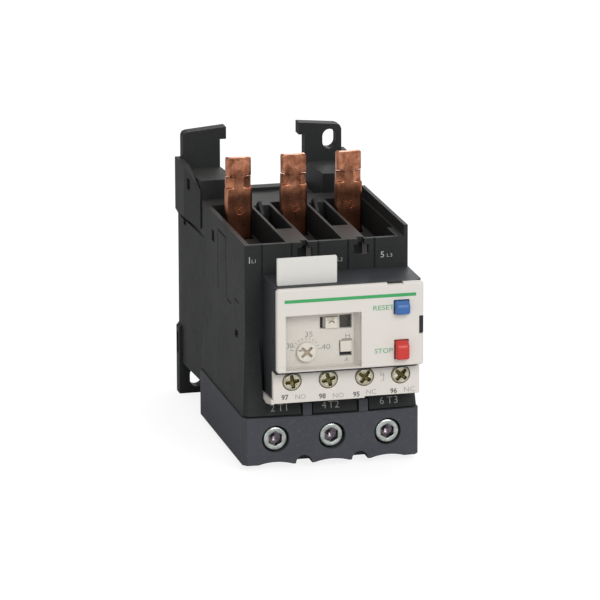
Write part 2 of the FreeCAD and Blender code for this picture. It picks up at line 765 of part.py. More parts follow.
def makeCasing():
    gearTop = f"{moduleRoof} - moduleWall"
    inner = (f"-{innerHalf}", innerHalf)
    underSeam = f"{seam} - cutPast"
    cuts = [
        block("GearSpace", inner, (casingInner, cavityRear), (underSeam, floorUnder)),
        block("PlinthSpace", inner, (f"{casingInner} - tabGrooveDepth", f"{casingInner} + cutPast"),
              (underSeam, f"{seam} + plinthHeight - casingWall")),
        block("RearSpace", inner, ("shroudDepth + fitGap + casingWall", "rearDepth"),
              (f"{rearUnder} + casingWall", f"{wallTop} - saddleDrop - 2 * casingWall")),
        block("FrontOpening", (f"{moduleLeft} + moduleWall", f"{casingHalf} - casingWall"),
              ("casingInset - cutPast", f"{casingInner} + cutPast"), (f"{moduleFoot} + moduleWall",
                                                                      gearTop)),
    ]
    cuts += pocketCuts() + partitionCuts() + keyholeCuts() + sideCuts() + tabGrooves()
    for pole, place in poles.items():
        half = "(bladeWidth / 2 + bladeFlare + fitGap)"
        cuts.append(block(f"BladeSlot{pole}", (f"{place} - {half}", f"{place} + {half}"),
                          ("bladeDepth - bladeSlotGap", "bladeDepth + bladeThickness + fitGap"),
                          (f"{floorUnder} - cutPast", f"{floorTop} + cutPast")))
    shell = without("CasingShell", joined("CasingBlank", casingBlanks()), cuts)
    node("main_casing", joined("MainCasing", [shell] + partitionFins()))


def tabGrooves():
    """Slots for the shroud's fingers, and a groove under the three tabs that they leave between them."""
    cuts = []
    for side, place in fingerPlaces():
        cuts.append(block("FingerSlot" + side,
                          (f"{place} - fingerWidth / 2 - tabGroove",
                           f"{place} + fingerWidth / 2 + tabGroove"),
                          ("-cutPast", "plinthInset + fingerWidth + fitGap"),
                          (f"{seam} - cutPast", f"{seam} + plinthHeight + cutPast")))
    cuts.append(block("TabGroove", (f"-{overallHalf}", overallHalf), ("-cutPast", "tabGrooveDepth"),
                      (f"{seam} - cutPast", f"{seam} + tabGroove")))
    return cuts


def makeTray():
    """The tray closes the gear space below the slides and lets the output bars through."""
    span = (f"{trayUnder} - cutPast", f"{trayTop} + cutPast")
    tray = block("TrayPlate", (f"-{innerHalf}", innerHalf), (casingInner, cavityRear), (trayUnder, trayTop))
    cuts = [rod("TrayPinHole", "z", "leverPin + runningGap", *span, x="leverX", y="leverDepth")]
    for pole, place in poles.items():
        half = "(bladeWidth / 2 + fitGap)"
        cuts.append(block(f"TraySlot{pole}", (f"{place} - {half}", f"{place} + {half}"),
                          (f"{riserFront} - fitGap", f"{riserFront} + barThickness + fitGap"), span))
    node("base_tray", without("BaseTray", tray, cuts))


# ---- rear plate ------------------------------------------------------------------------------

def plateHalfOutline():
    """Right half of the plate seen from the front, from the middle of its foot to the middle of its top."""
    hookInner = "towerInner - hookReach"
    hookFoot = "tabTop - hookDepth"
    flangeHead = f"{shelfTop} + flangeRise"
    return [
        (f"{overallHalf} - earWidth", rearUnder),
        (f"{overallHalf} - earWidth", "0"),
        (overallHalf, "0"),
        (overallHalf, "padHeight"),
        ("plateHalf", "padHeight + padChamfer"),
        ("plateHalf", "flangeFoot - flangeRise"),
        (overallHalf, "flangeFoot"),
        (overallHalf, flangeHead),
        ("tabHalf", flangeHead),
        ("tabHalf", "tabTop - tabSlope - tabChamfer"),
        ("tabHalf - tabChamfer * 0.3", "tabTop - tabSlope - tabChamfer * 0.3"),
        ("tabHalf - tabChamfer", "tabTop - tabSlope"),
        (hookInner, "tabTop"),
        (hookInner, hookFoot),
        ("towerInner", hookFoot),
        ("towerInner", f"{wallTop} - saddleDrop"),
    ]


def sideFlange(side, sign):
    """A side flange seen from above: it thickens towards the plate, and its top follows the tower."""
    inner = f"{sign}({casingHalf} + fitGap)"
    outer = f"{sign}{overallHalf}"
    plan = [
        (inner, "flangeFront"),
        (f"{sign}({casingHalf} + 2 * fitGap)", "flangeFront"),
        (outer, "flangeFront + flangeTaper"),
        (outer, f"{plateFront} + joinLap"),
        (inner, f"{plateFront} + joinLap"),
    ]
    return prism("Flange" + side, "XY_Plane", plan, "flangeFoot", f"{shelfTop} + flangeRise")


def makeRearPlate():
    half = plateHalfOutline()
    mirrored = [(f"-({right})", up) for right, up in reversed(half)]
    plate = prism("PlateBlank", "XZ_Plane", half + mirrored, plateFront, "rearDepth")
    solids = [plate, sideFlange("Left", "-"), sideFlange("Right", "")]
    fall = [
        ("flangeFront - cutPast", f"{shelfTop} - 2 * flangeRise"),
        (f"{plateFront} - flangeTaper / 2", f"{shelfTop} + flangeRise + fitGap"),
        ("flangeFront - cutPast", f"{shelfTop} + flangeRise + fitGap"),
    ]
    cuts = [prism("FlangeFall", "YZ_Plane", fall, f"-{overallHalf} - cutPast", f"{overallHalf} + cutPast")]
    reach = "(slotLength / 2 - slotRadius)"
    span = (f"{plateFront} - cutPast", "rearDepth + cutPast")
    places = (("Low", "-slotSpread / 2", "lowSlotHeight"),
              ("High", "slotSpread / 2", "lowSlotHeight + slotRise"))
    for name, place, height in places:
        cuts.append(rod(name + "SlotFoot", "y", "slotRadius", *span, x=place, z=f"{height} - {reach}"))
        cuts.append(rod(name + "SlotHead", "y", "slotRadius", *span, x=place, z=f"{height} + {reach}"))
        cuts.append(block(name + "Slot", (f"{place} - slotRadius", f"{place} + slotRadius"), span,
                          (f"{height} - {reach}", f"{height} + {reach}")))
    for side, sign in (("Left", "-"), ("Right", "")):
        edge = f"{sign}{overallHalf}"
        groove = block("PadGroove" + side, (f"{edge} - padGroove", f"{edge} + padGroove"),
                       ("rearDepth - 0.7 * plateThickness", "rearDepth - padGroove"),
                       ("padHeight * 0.6", "padHeight - 2 * padGroove"))
        slot = block("FlangeSlot" + side, (f"{edge} - flangeRise", f"{edge} + flangeRise"),
                     ("flangeFront + flangeSlotBack", "flangeFront + flangeSlotBack + sideSlotWidth"),
                     (f"{shelfTop} - flangeRise - sideSlotTall", f"{shelfTop} - flangeRise"))
        cuts += [groove, slot]
    node("rear_plate", without("RearPlate", joined("PlateSolid", solids), cuts))


# ---- control module --------------------------------------------------------------------------

def moduleCorners(inset, front):
    """Plan of the module's upper part, drawn in by an inset, with a bevelled right front corner."""
    right = f"({casingHalf} - {inset})"
    bevel = f"(moduleCorner - 0.4 * {inset})"
    return [
        (f"{moduleLeft} + {inset}", front),
        (f"{right} - {bevel}", front),
        (right, f"{coverBack} + {bevel}"),
        (right, "casingInset"),
        (f"{moduleLeft} + {inset}", "casingInset"),
    ]


def makeModuleCasing():
    """Module casing: deep upper part behind the cover, shallow lower part behind the strip, carrier plate between."""
    inner = (f"{moduleLeft} + moduleWall", f"{casingHalf} - moduleWall")
    stepDepth = f"({stripBack} + auxClampThickness)"
    behind = "casingInset + cutPast"
    upper = prism("ModuleUpper", "XY_Plane", moduleCorners("0", coverBack), stripHead, moduleRoof)
    lower = block("ModuleLower", (moduleLeft, casingHalf), (stepDepth, "casingInset"),
                  (moduleFoot, f"{coverFoot} + joinLap"))
    latch = block("CoverLatch", (f"{casingHalf} - moduleWall", casingHalf),
                  ("joinLap - coverReach", f"{coverBack} + moduleCorner + joinLap"),
                  (f"{moduleRoof} - latchDrop - latchTall", f"{moduleRoof} - latchDrop"))
    levels = (f"{stripHead} + shelfWall", f"{moduleRoof} - moduleWall")
    space = prism("ModuleSpace", "XY_Plane", moduleCorners("moduleWall", f"{coverBack} - cutPast"), *levels)
    carrier = block("CarrierPlate", (moduleLeft, casingHalf), (carrierFront, carrierBack), levels)
    rear = block("ModuleRearSpace", inner, (carrierBack, behind), levels)
    low = block("ModuleLowerSpace", inner, (f"{stepDepth} - cutPast", behind),
                (f"{moduleFoot} + moduleWall", stripHead))
    shelf = block("ModuleShelfOpening", inner, (carrierBack, behind),
                  (f"{stripHead} - cutPast", f"{stripHead} + shelfWall + cutPast"))
    entry = block("ModuleEntrySlot", inner, (f"{stepDepth} - cutPast", "auxPlateDepth + fitGap"),
                  (f"{moduleFoot} - cutPast", f"{moduleFoot} + moduleWall + cutPast"))
    hole = block("ModuleLatchHole", (f"{moduleLeft} - cutPast", f"{moduleLeft} + moduleWall + cutPast"),
                 ("-stripReach - joinLap", "joinLap - stripReach"),
                 ("footDrop + latchHoleRise + sideSlotTall",
                  "footDrop + latchHoleRise + 1.5 * sideSlotTall"))
    shell = without("ModuleShell", joined("ModuleBlank", [upper, lower, latch]),
                    [space, rear, low, shelf, entry, hole])
    guides = (("Reset", "plungerRadius", buttonX, resetZ), ("Stop", "plungerRadius", buttonX, stopZ),
              ("Dial", "dialShaft", dialX, dialZ))
    cuts = []
    for name, radius, place, height in guides:
        cuts.append(rod(name + "Guide", "y", f"{radius} + runningGap", f"{carrierFront} - cutPast",
                        f"{carrierBack} + cutPast", x=place, z=height))
    node("module_casing", without("ModuleCasing", joined("ModuleFrame", [shell, carrier]), cuts))


def makeCover():
    """Front cover: rounded plate with the setting recess moulded behind it, and its openings."""
    wall = "(moduleWall - runningGap)"
    plate = block("CoverPlate", (moduleLeft, casingHalf), (coverFace, coverBack), (coverFoot, moduleRoof))
    plate = broken("CoverCorners", plate, "coverCorner", lambda edge: along(edge, "y"))
    plate = broken("CoverRounded", plate, "coverRound",
                   lambda edge: edge.BoundBox.YMax < -sizes["coverReach"] + 1e-3)
    box = block("RecessBox", (f"{recessLeft} - {wall}", f"{recessRight} + {wall}"),
                (f"{coverBack} - joinLap", recessBehind), (coverFoot, f"{recessTop} + {wall}"))
    space = block("RecessSpace", (recessLeft, recessRight), (f"{coverFace} - cutPast", recessBack),
                  (recessBottom, recessTop))
    ramp = [
        (f"{recessRight} + joinLap", coverFace),
        (f"{recessRight} + joinLap", f"{recessBack} + joinLap"),
        (f"{recessRight} - recessSlope", f"{recessBack} + joinLap"),
        (f"{recessRight} - recessSlope", recessBack),
    ]
    slope = prism("RecessRamp", "XY_Plane", ramp, f"{recessBottom} - fitGap", f"{recessTop} + fitGap")
    hollow = without("CoverHollow", joined("CoverBlank", [plate, box]), [space])
    cuts = coverOpenings()
    cuts.append(rod("FlapBore", "x", "flapPin + runningGap", f"{recessLeft} - flapPinReach",
                    f"{recessRight} + flapPinReach - flapGap", y=flapDepth, z=f"{recessBottom} + flapPivotRise"))
    cuts.append(block("LatchNotch", (f"{casingHalf} - moduleWall - fitGap", f"{casingHalf} + cutPast"),
                      (f"{coverFace} - cutPast", f"{coverBack} + cutPast"),
                      (f"{moduleRoof} - latchDrop - latchTall - fitGap",
                       f"{moduleRoof} - latchDrop + fitGap")))
    cuts.append(block("TopDip", (f"{buttonX} - resetWidth", f"{buttonX} + buttonFlange"),
                      (f"{coverFace} - cutPast", f"{coverBack} + cutPast"),
                      (f"{moduleRoof} - topDip", f"{moduleRoof} + cutPast")))
    node("front_cover", without("FrontCover", joined("CoverSloped", [hollow, slope]), cuts))


def coverOpenings():
    """Button holes through the plate, and slots, window and dial hole through the recess floor."""
    through = (f"{coverFace} - cutPast", f"{coverBack} + cutPast")
    floor = (f"{recessBack} - joinLap", f"{recessBehind} + joinLap")
    openings = (
        ("ResetHole", buttonX, "resetWidth / 2 + buttonGap", resetZ, "resetTall / 2 + buttonGap", through),
        ("StopHole", buttonX, "stopWidth / 2 + buttonGap", stopZ, "stopTall / 2 + buttonGap", through),
        ("SelectorSlot", selectorX, "selectorWidth / 2 + slideGap", f"({selectorZ} - selectorTravel / 2)",
         "(selectorTall + selectorTravel) / 2 + slideGap", floor),
        ("TestSlot", f"({testX} - testTravel / 2)", "(testWidth + testTravel) / 2 + slideGap", testZ,
         "testTall / 2 + slideGap", floor),
        ("FlagWindow", selectorX, "windowWidth / 2", windowZ, "windowTall / 2", floor),
    )
    cuts = [rod("DialHole", "y", "dialShaft + runningGap", *floor, x=dialX, z=dialZ)]
    for name, place, half, height, rise, depth in openings:
        cuts.append(block(name, (f"{place} - ({half})", f"{place} + {half}"), depth,
                          (f"{height} - ({rise})", f"{height} + {rise}")))
    return cuts


def along(edge, axis):
    """True for a straight edge along the given axis."""
    first, last = edge.firstVertex().Point, edge.lastVertex().Point
    return all(abs(getattr(first, other) - getattr(last, other)) < 1e-6 for other in "xyz" if other != axis)


def makeStrip():
    """Auxiliary terminal strip: stepped face with screw holes, dividers, a rear wall and a side lip."""
    backWall = f"({tailBack} + 2 * runningGap)"
    foot = f"{moduleFoot} + moduleWall"
    plate = block("StripPlate", (moduleLeft, casingHalf), (stripFace, stripBack), (moduleFoot, stripHead))
    face = broken("StripFace", plate, "stripCorner", lambda edge: along(edge, "y"))
    inner = (f"{moduleLeft} + moduleWall", f"{casingHalf} - moduleWall")
    solids = [face, block("StripRear", inner, (backWall, f"{backWall} + stripRear"), (foot, stripHead))]
    for index, between in enumerate((97, 98, 95)):
        place = f"({auxPlaces[between]} + {auxPitch} / 2)"
        solids.append(block(f"StripDivider{index}",
                            (f"{place} - dividerWall / 2", f"{place} + dividerWall / 2"),
                            (f"{stripBack} - joinLap", f"{backWall} + joinLap"), (foot, stripHead)))
    solids.append(stripLip())
    cuts = [block("StripStep", (auxPlaces[95], f"{casingHalf} + cutPast"),
                  (f"{stripFace} - cutPast", f"{stripBack} + fitGap"),
                  (f"{moduleFoot} - cutPast", f"{moduleFoot} + stripStep"))]
    for number, place in auxPlaces.items():
        cuts.append(rod(f"HeadHole{number}", "y", "auxHole", f"{stripFace} - cutPast",
                        f"{stripBack} + cutPast",
                        x=place, z=auxZ))
        cuts.append(rod(f"ShankHole{number}", "y", "auxShank + fitGap", f"{backWall} - cutPast",
                        f"{backWall} + stripRear + cutPast", x=place, z=auxZ))
    node("terminal_strip", without("TerminalStrip", joined("StripBlank", solids), cuts))


def stripLip():
    """A small curved lip at the strip's left foot, leaning back against the casing."""
    corners = [
        ("casingInset - runningGap", f"{moduleFoot} + lipRise / 2"),
        ("-stripReach", f"{moduleFoot} + lipRise"),
        ("-stripReach - lipRise", f"{moduleFoot} + fitGap"),
        ("-stripReach / 6", f"{moduleFoot} - lipRise"),
        ("casingInset - lipRise", f"{moduleFoot} - lipRise / 2"),
    ]
    return prism("StripLip", "YZ_Plane", corners, f"{moduleLeft} - lipWall", moduleLeft)


def makeMarker():
    plate = block("MarkerBlank", (f"{moduleLeft} + markerInset",
                                  f"{moduleLeft} + markerInset + markerWidth"),
                  ("-markerReach", "markerThickness - markerReach"), (moduleRoof,
                                                                      f"{moduleRoof} + markerTall"))
    node("marker_plate", broken("MarkerPlate", plate, "smallRound", lambda edge: along(edge, "y")))


def makeFlap():
    """Clear flap over the setting recess, with two pins moulded on its lower corners."""
    pane = block("FlapPane", (f"{recessLeft} + flapGap", f"{recessRight} - 2 * flapGap"),
                 ("flapInset - coverReach", "flapInset + flapThickness - coverReach"),
                 (f"{recessBottom} + flapGap", f"{recessTop} - flapGap"))
    pin = rod("FlapPins", "x", "flapPin", f"{recessLeft} - flapPinReach + fitGap",
              f"{recessRight} + flapPinReach - flapGap - fitGap", y=flapDepth, z=f"{recessBottom} + flapPivotRise")
    node("setting_flap", joined("SettingFlap", [pane, pin]))


def makeDial():
    """Setting dial: slotted head, shaft through the recess floor, and the cam behind it."""
    face = f"{recessBack} - slideGap - dialHead"
    camFront = f"{recessBehind} + 2 * slideGap"
    head = rod("DialHead", "y", "dialRadius", face, f"{recessBack} - slideGap", x=dialX, z=dialZ)
    shaft = rod("DialShaft", "y", "dialShaft", f"{recessBack} - 2 * slideGap", carrierBack, x=dialX,
                z=dialZ)
    cam = rod("DialCam", "y", "dialCam", camFront, f"{camFront} + dialHead", x=f"{dialX} - dialOffset",
              z=dialZ)
    cuts = []
    for index, angle in enumerate(crossAngles):
        cuts.append(turnedBar(f"DialSlot{index}", angle, "-driverReach", "driverReach", "driverSlot / 2",
                              f"{face} - cutPast", f"{face} + driverDepth"))
    cuts.append(turnedBar("DialPointer", pointerAngle, "dialRadius / 2", "dialRadius + cutPast",
                          "driverSlot / 3",
                          f"{face} - cutPast", f"{face} + driverDepth / 2"))
    node("setting_dial", without("SettingDial", joined("DialBlank", [head, shaft, cam]), cuts))


def turned(angle):
    """Cosine and sine of an angle in degrees, as plain numbers for an expression."""
    return round(math.cos(math.radians(angle)), 6), round(math.sin(math.radians(angle)), 6)


def turnedBar(name, angle, inner, outer, half, low, high):
    """A bar across the dial's face, turned from the horizontal."""
    cosine, sine = turned(angle)
    corners = []
    for reach, side in ((inner, f"-({half})"), (outer, f"-({half})"), (outer, half), (inner, half)):
        corners.append((f"{dialX} + ({reach}) * {cosine} - ({side}) * {sine}",
                        f"{dialZ} + ({reach}) * {sine} + ({side}) * {cosine}"))
    return prism(name, "XZ_Plane", corners, low, high)


def makeButton(label, wide, tall, middle, travel):
    """Push button: bevelled cap, flange behind the cover, and a plunger through the carrier plate."""
    name = label.title().replace("_", "")
    face = "(-coverReach - buttonProud)"
    capBack = f"{flangeFront} + flangeThickness / 2"
    foot, head = f"{middle} - {tall} / 2", f"{middle} + {tall} / 2"
    profile = [
        (capBack, foot),
        (face, foot),
        (face, f"{middle} + {tall} / 10"),
        (f"{face} + buttonProud / 2", head),
        (capBack, head),
    ]
    cap = prism(name + "Cap", "YZ_Plane", profile, f"{buttonX} - {wide} / 2", f"{buttonX} + {wide} / 2")
    flange = block(name + "Flange",
                   (f"{buttonX} - {wide} / 2 - buttonFlange", f"{buttonX} + {wide} / 2 + buttonFlange"),
                   (flangeFront, f"{flangeFront} + flangeThickness"),
                   (f"{foot} - buttonFlange", f"{head} + buttonFlange"))
    plunger = rod(name + "Plunger", "y", "plungerRadius", capBack,
                  f"{carriageFront} - contactGap - {travel}",
                  x=buttonX, z=middle)
    node(label, joined(name, [cap, flange, plunger]))


def makeButtons():
    """Both buttons, each with the coil spring that stands between its flange and the carrier plate."""
    makeButton("reset_button", "resetWidth", "resetTall", resetZ, "resetTravel")
    makeButton("stop_button", "stopWidth", "stopTall", stopZ, "stopTravel")
    low = f"{flangeFront} + flangeThickness + springWire"
    high = f"{carrierFront} - springWire / 2"
    radius = "plungerRadius + springGap + springWire / 2"
    for kind, height in (("reset", resetZ), ("stop", stopZ)):
        spring = coil(kind.title() + "Spring", "y", radius, "springWire / 2", "springTurns", low, high,
                      x=buttonX, z=height)
        node(kind + "_spring", spring)


def makeTestSlider():
    """Test slider: a cap in the recess floor with a driver slit, held by a flange behind the floor."""
    left, right = f"{testX} - testWidth / 2", f"{testX} + testWidth / 2"
    foot, head = f"{testZ} - testTall / 2", f"{testZ} + testTall / 2"
    slit = f"{testZ} + testTall / 5"
    cap = block("TestCap", (left, right), sliderCap, (foot, head))
    flange = block("TestFlange", (f"{left} - sliderLip / 2", f"{right} + sliderLip"), sliderBehind,
                   (f"{foot} - sliderLip", f"{head} + sliderLip"))
    slot = block("TestSlit", (f"{left} + testWidth / 6", f"{right} - testWidth / 3"),
                 (f"{recessBack} - 2 * sliderProud", f"{recessBack} - sliderProud / 3"), (slit,
                                                                                          f"{slit} + driverSlot"))
    node("test_slider", without("TestSlider", joined("TestBlank", [cap, flange]), [slot]))


def makeSelector():
    """Selector: a cap that slides down in its slot, held by a narrower flange behind the floor."""
    left, right = f"{selectorX} - selectorWidth / 2", f"{selectorX} + selectorWidth / 2"
    cap = block("SelectorCap", (left, right), sliderCap,
                (f"{selectorZ} - selectorTall / 2", f"{selectorZ} + selectorTall / 2"))
    flange = block("SelectorFlange", (f"{left} - sliderLip", f"{right} + sliderLip"), sliderBehind,
                   (f"{selectorZ} - selectorTall / 4", f"{selectorZ} + selectorTall / 4"))
    node("mode_selector", joined("ModeSelector", [cap, flange]))


def makeFlag():
    """Trip flag, seen through its window, sliding on the carrier plate."""
    half = "windowWidth / 2 + sliderLip"
    rise = "windowTall / 2 + sliderLip / 2"
    flag = block("FlagPlate", (f"{selectorX} - ({half})", f"{selectorX} + {half}"),
                 (f"{carrierFront} - slideGap - sliderFlange", f"{carrierFront} - slideGap"),
                 (f"{windowZ} - ({rise}) - flagTravel", f"{windowZ} + {rise}"))
    node("trip_flag", broken("TripFlag", flag, "smallRound", lambda edge: along(edge, "y")))


# ---- current path ----------------------------------------------------------------------------

def bladeOutline(place):
    """Front view of the upright: bevelled head, a slit in each side, and a wider lower part."""
    half = "bladeWidth / 2"
    top = "footDrop + bladeTop"
    neck = "footDrop + neckBottom"
    slit = "footDrop + neckTop"
    right = [
        (f"{half} + bladeFlare", f"{floorUnder} - footThickness"),
        (f"{half} + bladeFlare", f"{neck} - bladeFlare"),
        (half, f"{neck} + bladeFlare"),
        (half, slit),
        (f"{half} - slitDeep", slit),
        (f"{half} - slitDeep", f"{slit} + slitTall"),
        (half, f"{slit} + slitTall"),
        (half, f"{top} - bladeCorner"),
        (f"{half} - bladeCorner", top),
    ]
    corners = [(f"{place} + {across}", up) for across, up in right]
    corners += [(f"{place} - ({across})", up) for across, up in reversed(right)]
    return corners


def makePole(pole, place):
    """Current path of one pole: blade with its foot and leg, bimetal strip, heater and output bar."""
    across = (f"{place} - bladeWidth / 2", f"{place} + bladeWidth / 2")
    bladeBack = "bladeDepth + bladeThickness"
    post = prism(f"BladeUpright{pole}", "XZ_Plane", bladeOutline(place), "bladeDepth", bladeBack)
    foot = block(f"BladeFoot{pole}", across, ("footFront", bladeBack),
                 (f"{floorUnder} - footThickness", floorUnder))
    leg = block(f"BladeLeg{pole}", across, ("footFront", legBack),
                ("footDrop + legBottom", f"{floorUnder} - joinLap"))
    node(f"blade_{pole}", joined(f"Blade{pole}", [post, foot, leg]))
    strip = block(f"BimetalStrip{pole}", (f"{place} - bimetalThickness / 2",
                                          f"{place} + bimetalThickness / 2"),
                  (legBack, f"{legBack} + bimetalWidth"), ("footDrop + bimetalTip",
                                                           "footDrop + bimetalTop"))
    node(f"bimetal_{pole}", strip)
    makeHeater(pole, place)
    bar = [
        ("barDepth", "footDrop + barBottom"),
        ("barDepth + barThickness", "footDrop + barBottom"),
        ("barDepth + barThickness", "footDrop + barHeight"),
        (f"{riserFront} + barThickness", "footDrop + barHeight"),
        (f"{riserFront} + barThickness", "footDrop + riserTop"),
        (riserFront, "footDrop + riserTop"),
        (riserFront, barTop),
        ("barDepth", barTop),
    ]
    node(f"output_bar_{pole}", prism(f"OutputBar{pole}", "YZ_Plane", bar, *across))


def makeHeater(pole, place):
    """Heater winding about the bimetal strip: its upper end stands under the blade's leg, its lower end
    runs back to the output bar."""
    low, high = "footDrop + coilBottom", "footDrop + coilTop"
    radius = "(bimetalWidth / 2 + footThickness / 2)"
    wire = "coilWire / 2"
    winding = coil(f"Winding{pole}", "z", radius, wire, "heaterTurns", low, high, x=place, y=coilDepth)
    upper = rod(f"HeaterUpper{pole}", "z", wire, high, "footDrop + legBottom", x=place,
                y=f"{coilDepth} - {radius}")
    lower = rod(f"HeaterLower{pole}", "y", wire, coilDepth, riserFront, x=f"{place} + {radius}", z=low)
    node(f"heater_{pole}", joined(f"Heater{pole}", [winding, upper, lower]))


# ---- cage clamps and screws ------------------------------------------------------------------

def makeClamp(pole, place):
    """Cage clamp open to the wire from below, and its hexagon-socket screw."""
    height = "(footDrop + screwHeight)"
    windowFront = "cageFront + cageWall"
    cage = block(f"CageBlank{pole}", (f"{place} - cageWidth / 2", f"{place} + cageWidth / 2"),
                 ("cageFront", f"{windowFront} + cageOpening + cageWall"),
                 (f"{height} - cageTall / 2 + cageLift", f"{height} + cageTall / 2"))
    window = block(f"CageWindow{pole}", (f"{place} - cageWindow / 2", f"{place} + cageWindow / 2"),
                   (windowFront, f"{windowFront} + cageOpening"), (f"{height} - cageTall",
                                                                   f"{height} + cageTall"))
    thread = rod(f"CageBore{pole}", "y", "screwRadius + runningGap", "cageFront - cutPast",
                 f"{windowFront} + cutPast", x=place, z=height)
    node(f"clamp_cage_{pole}", without(f"ClampCage{pole}", cage, [window, thread]))

    face = "screwSeat - screwHeadTall"
    head = rod(f"ScrewHead{pole}", "y", "screwHead", f"{face} - runningGap", "screwSeat - runningGap",
               x=place, z=height)
    shank = rod(f"ScrewShank{pole}", "y", "screwRadius", "screwSeat - 2 * runningGap",
                "screwSeat + screwLength",
                x=place, z=height)
    body = broken(f"ScrewRounded{pole}", joined(f"ScrewBlank{pole}", [head, shank]), "screwRound", onFront)
    socket = hexagon(f"ScrewSocket{pole}", place, height, f"{face} - cutPast", f"{face} + hexDepth")
    node(f"clamp_screw_{pole}", without(f"ClampScrew{pole}", body, [socket]))


def onFront(edge):
    """True for the round edge of a screw head's outer face."""
    box = edge.BoundBox
    flat = box.YLength < 1e-6 and box.YMin < sizes["screwSeat"] - sizes["screwHeadTall"] / 2
    return flat and box.XLength > 2 * sizes["screwHead"] - sizes["runningGap"]


def hexagon(name, place, height, low, high):
    """A hexagon with two sides upright, measured across its flats."""
    reach = f"(hexAcross / {round(math.sqrt(3), 6)})"
    corners = []
    for turn in range(6):
        cosine, sine = turned(60 * turn + 30)
        corners.append((f"{place} + {reach} * {cosine}", f"{height} + {reach} * {sine}"))
    return prism(name, "XZ_Plane", corners, low, high)


def makeAuxTerminal(number, place):
    """One auxiliary terminal: contact plate with its tail, clamp plate behind the screw head, and screw."""
    headBack = f"({stripBack} + 2 * runningGap)"
    headFront = f"({stripBack} + 2 * runningGap - auxHeadTall)"
    plate = block(f"AuxPlate{number}", (f"{place} - {auxPlateHalf}", f"{place} + {auxPlateHalf}"),
                  ("auxPlateDepth", tailBack), (f"{moduleFoot} + moduleWall + 4 * fitGap",
                                                f"{stripHead} - fitGap"))
    tail = block(f"AuxTail{number}", (f"{place} - tailWidth / 2", f"{place} + tailWidth / 2"),
                 ("auxPlateDepth", tailBack), (f"{stripHead} - auxRim",
                                               f"{contactFoot} + contactTall + auxRim"))
    bore = rod(f"AuxBore{number}", "y", "auxShank + runningGap", "auxPlateDepth - cutPast",
               f"{tailBack} + cutPast", x=place, z=auxZ)
    blank = joined(f"AuxBlank{number}", [plate, tail])
    node(f"contact_plate_{number}", without(f"ContactPlate{number}", blank, [bore]))

    head = rod(f"AuxHead{number}", "y", "auxHead", headFront, headBack, x=place, z=auxZ)
    shank = rod(f"AuxShank{number}", "y", "auxShank", f"{headBack} - runningGap",
                f"{tailBack} + auxPlateThickness",
                x=place, z=auxZ)
    reach, half = "auxSlotReach", "(driverSlot / 2)"
    span = (f"{headFront} - cutPast", f"{headFront} + auxHeadTall / 2")
    level = block(f"AuxLevel{number}", (f"{place} - {reach}", f"{place} + {reach}"), span,
                  (f"{auxZ} - {half}", f"{auxZ} + {half}"))
    plumb = block(f"AuxPlumb{number}", (f"{place} - {half}", f"{place} + {half}"), span,
                  (f"{auxZ} - {reach}", f"{auxZ} + {reach}"))
    screw = joined(f"AuxScrewBlank{number}", [head, shank])
    node(f"aux_screw_{number}", without(f"AuxScrew{number}", screw, [level, plumb]))

    clamp = block(f"AuxClampBlank{number}", (f"{place} - {auxClampHalf}", f"{place} + {auxClampHalf}"),
                  (f"{headBack} + runningGap", f"{headBack} + runningGap + auxClampThickness"),
                  (f"{auxZ} - auxHole", f"{auxZ} + auxHole - 2 * fitGap"))
    hole = rod(f"AuxClampHole{number}", "y", "auxShank + runningGap", headFront, tailBack, x=place, z=auxZ)
    node(f"aux_clamp_{number}", without(f"AuxClamp{number}", clamp, [hole]))


# ---- trip gear -------------------------------------------------------------------------------

def makeSlides():
    """Two slides across the poles: one is pushed by the strips, one follows their return."""
    pushFront = f"({legBack} + fitGap)"
    pushDepth = (pushFront, f"{pushFront} + slideWidth")
    holdBack = f"({legBack} + bimetalWidth - fitGap)"
    holdDepth = (f"{holdBack} - slideWidth", holdBack)
    reach = (f"2 * fitGap + cutPast - {innerHalf}", f"{innerHalf} - tripTravel - 2 * fitGap")
    rise = (f"{slideHead} - joinLap", f"{slideHead} + fingerTall")
    push = [block("PushBar", reach, pushDepth, (slideFoot, slideHead))]
    hold = [block("HoldBar", reach, holdDepth, (slideFoot, slideHead))]
    for pole, place in poles.items():
        pushSide = f"({place} + bimetalThickness / 2 + fingerGap)"
        holdSide = f"({place} - bimetalThickness / 2 - fingerGap - tripTravel)"
        push.append(block(f"PushFinger{pole}", (pushSide, f"{pushSide} + fingerThickness"), pushDepth,
                          rise))
        hold.append(block(f"HoldFinger{pole}", (f"{holdSide} - fingerThickness", holdSide), holdDepth,
                          rise))
    peg = f"({compFace} - fingerGap)"
    push.append(block("PushPeg", (f"{peg} - pegWidth", peg),
                      (f"{legBack} - 2 * pegWidth", f"{pushFront} + joinLap"),
                      (slideFoot, f"{leverFoot} + pegRise")))
    node("push_slide", joined("PushSlide", push))
    node("hold_slide", joined("HoldSlide", hold))


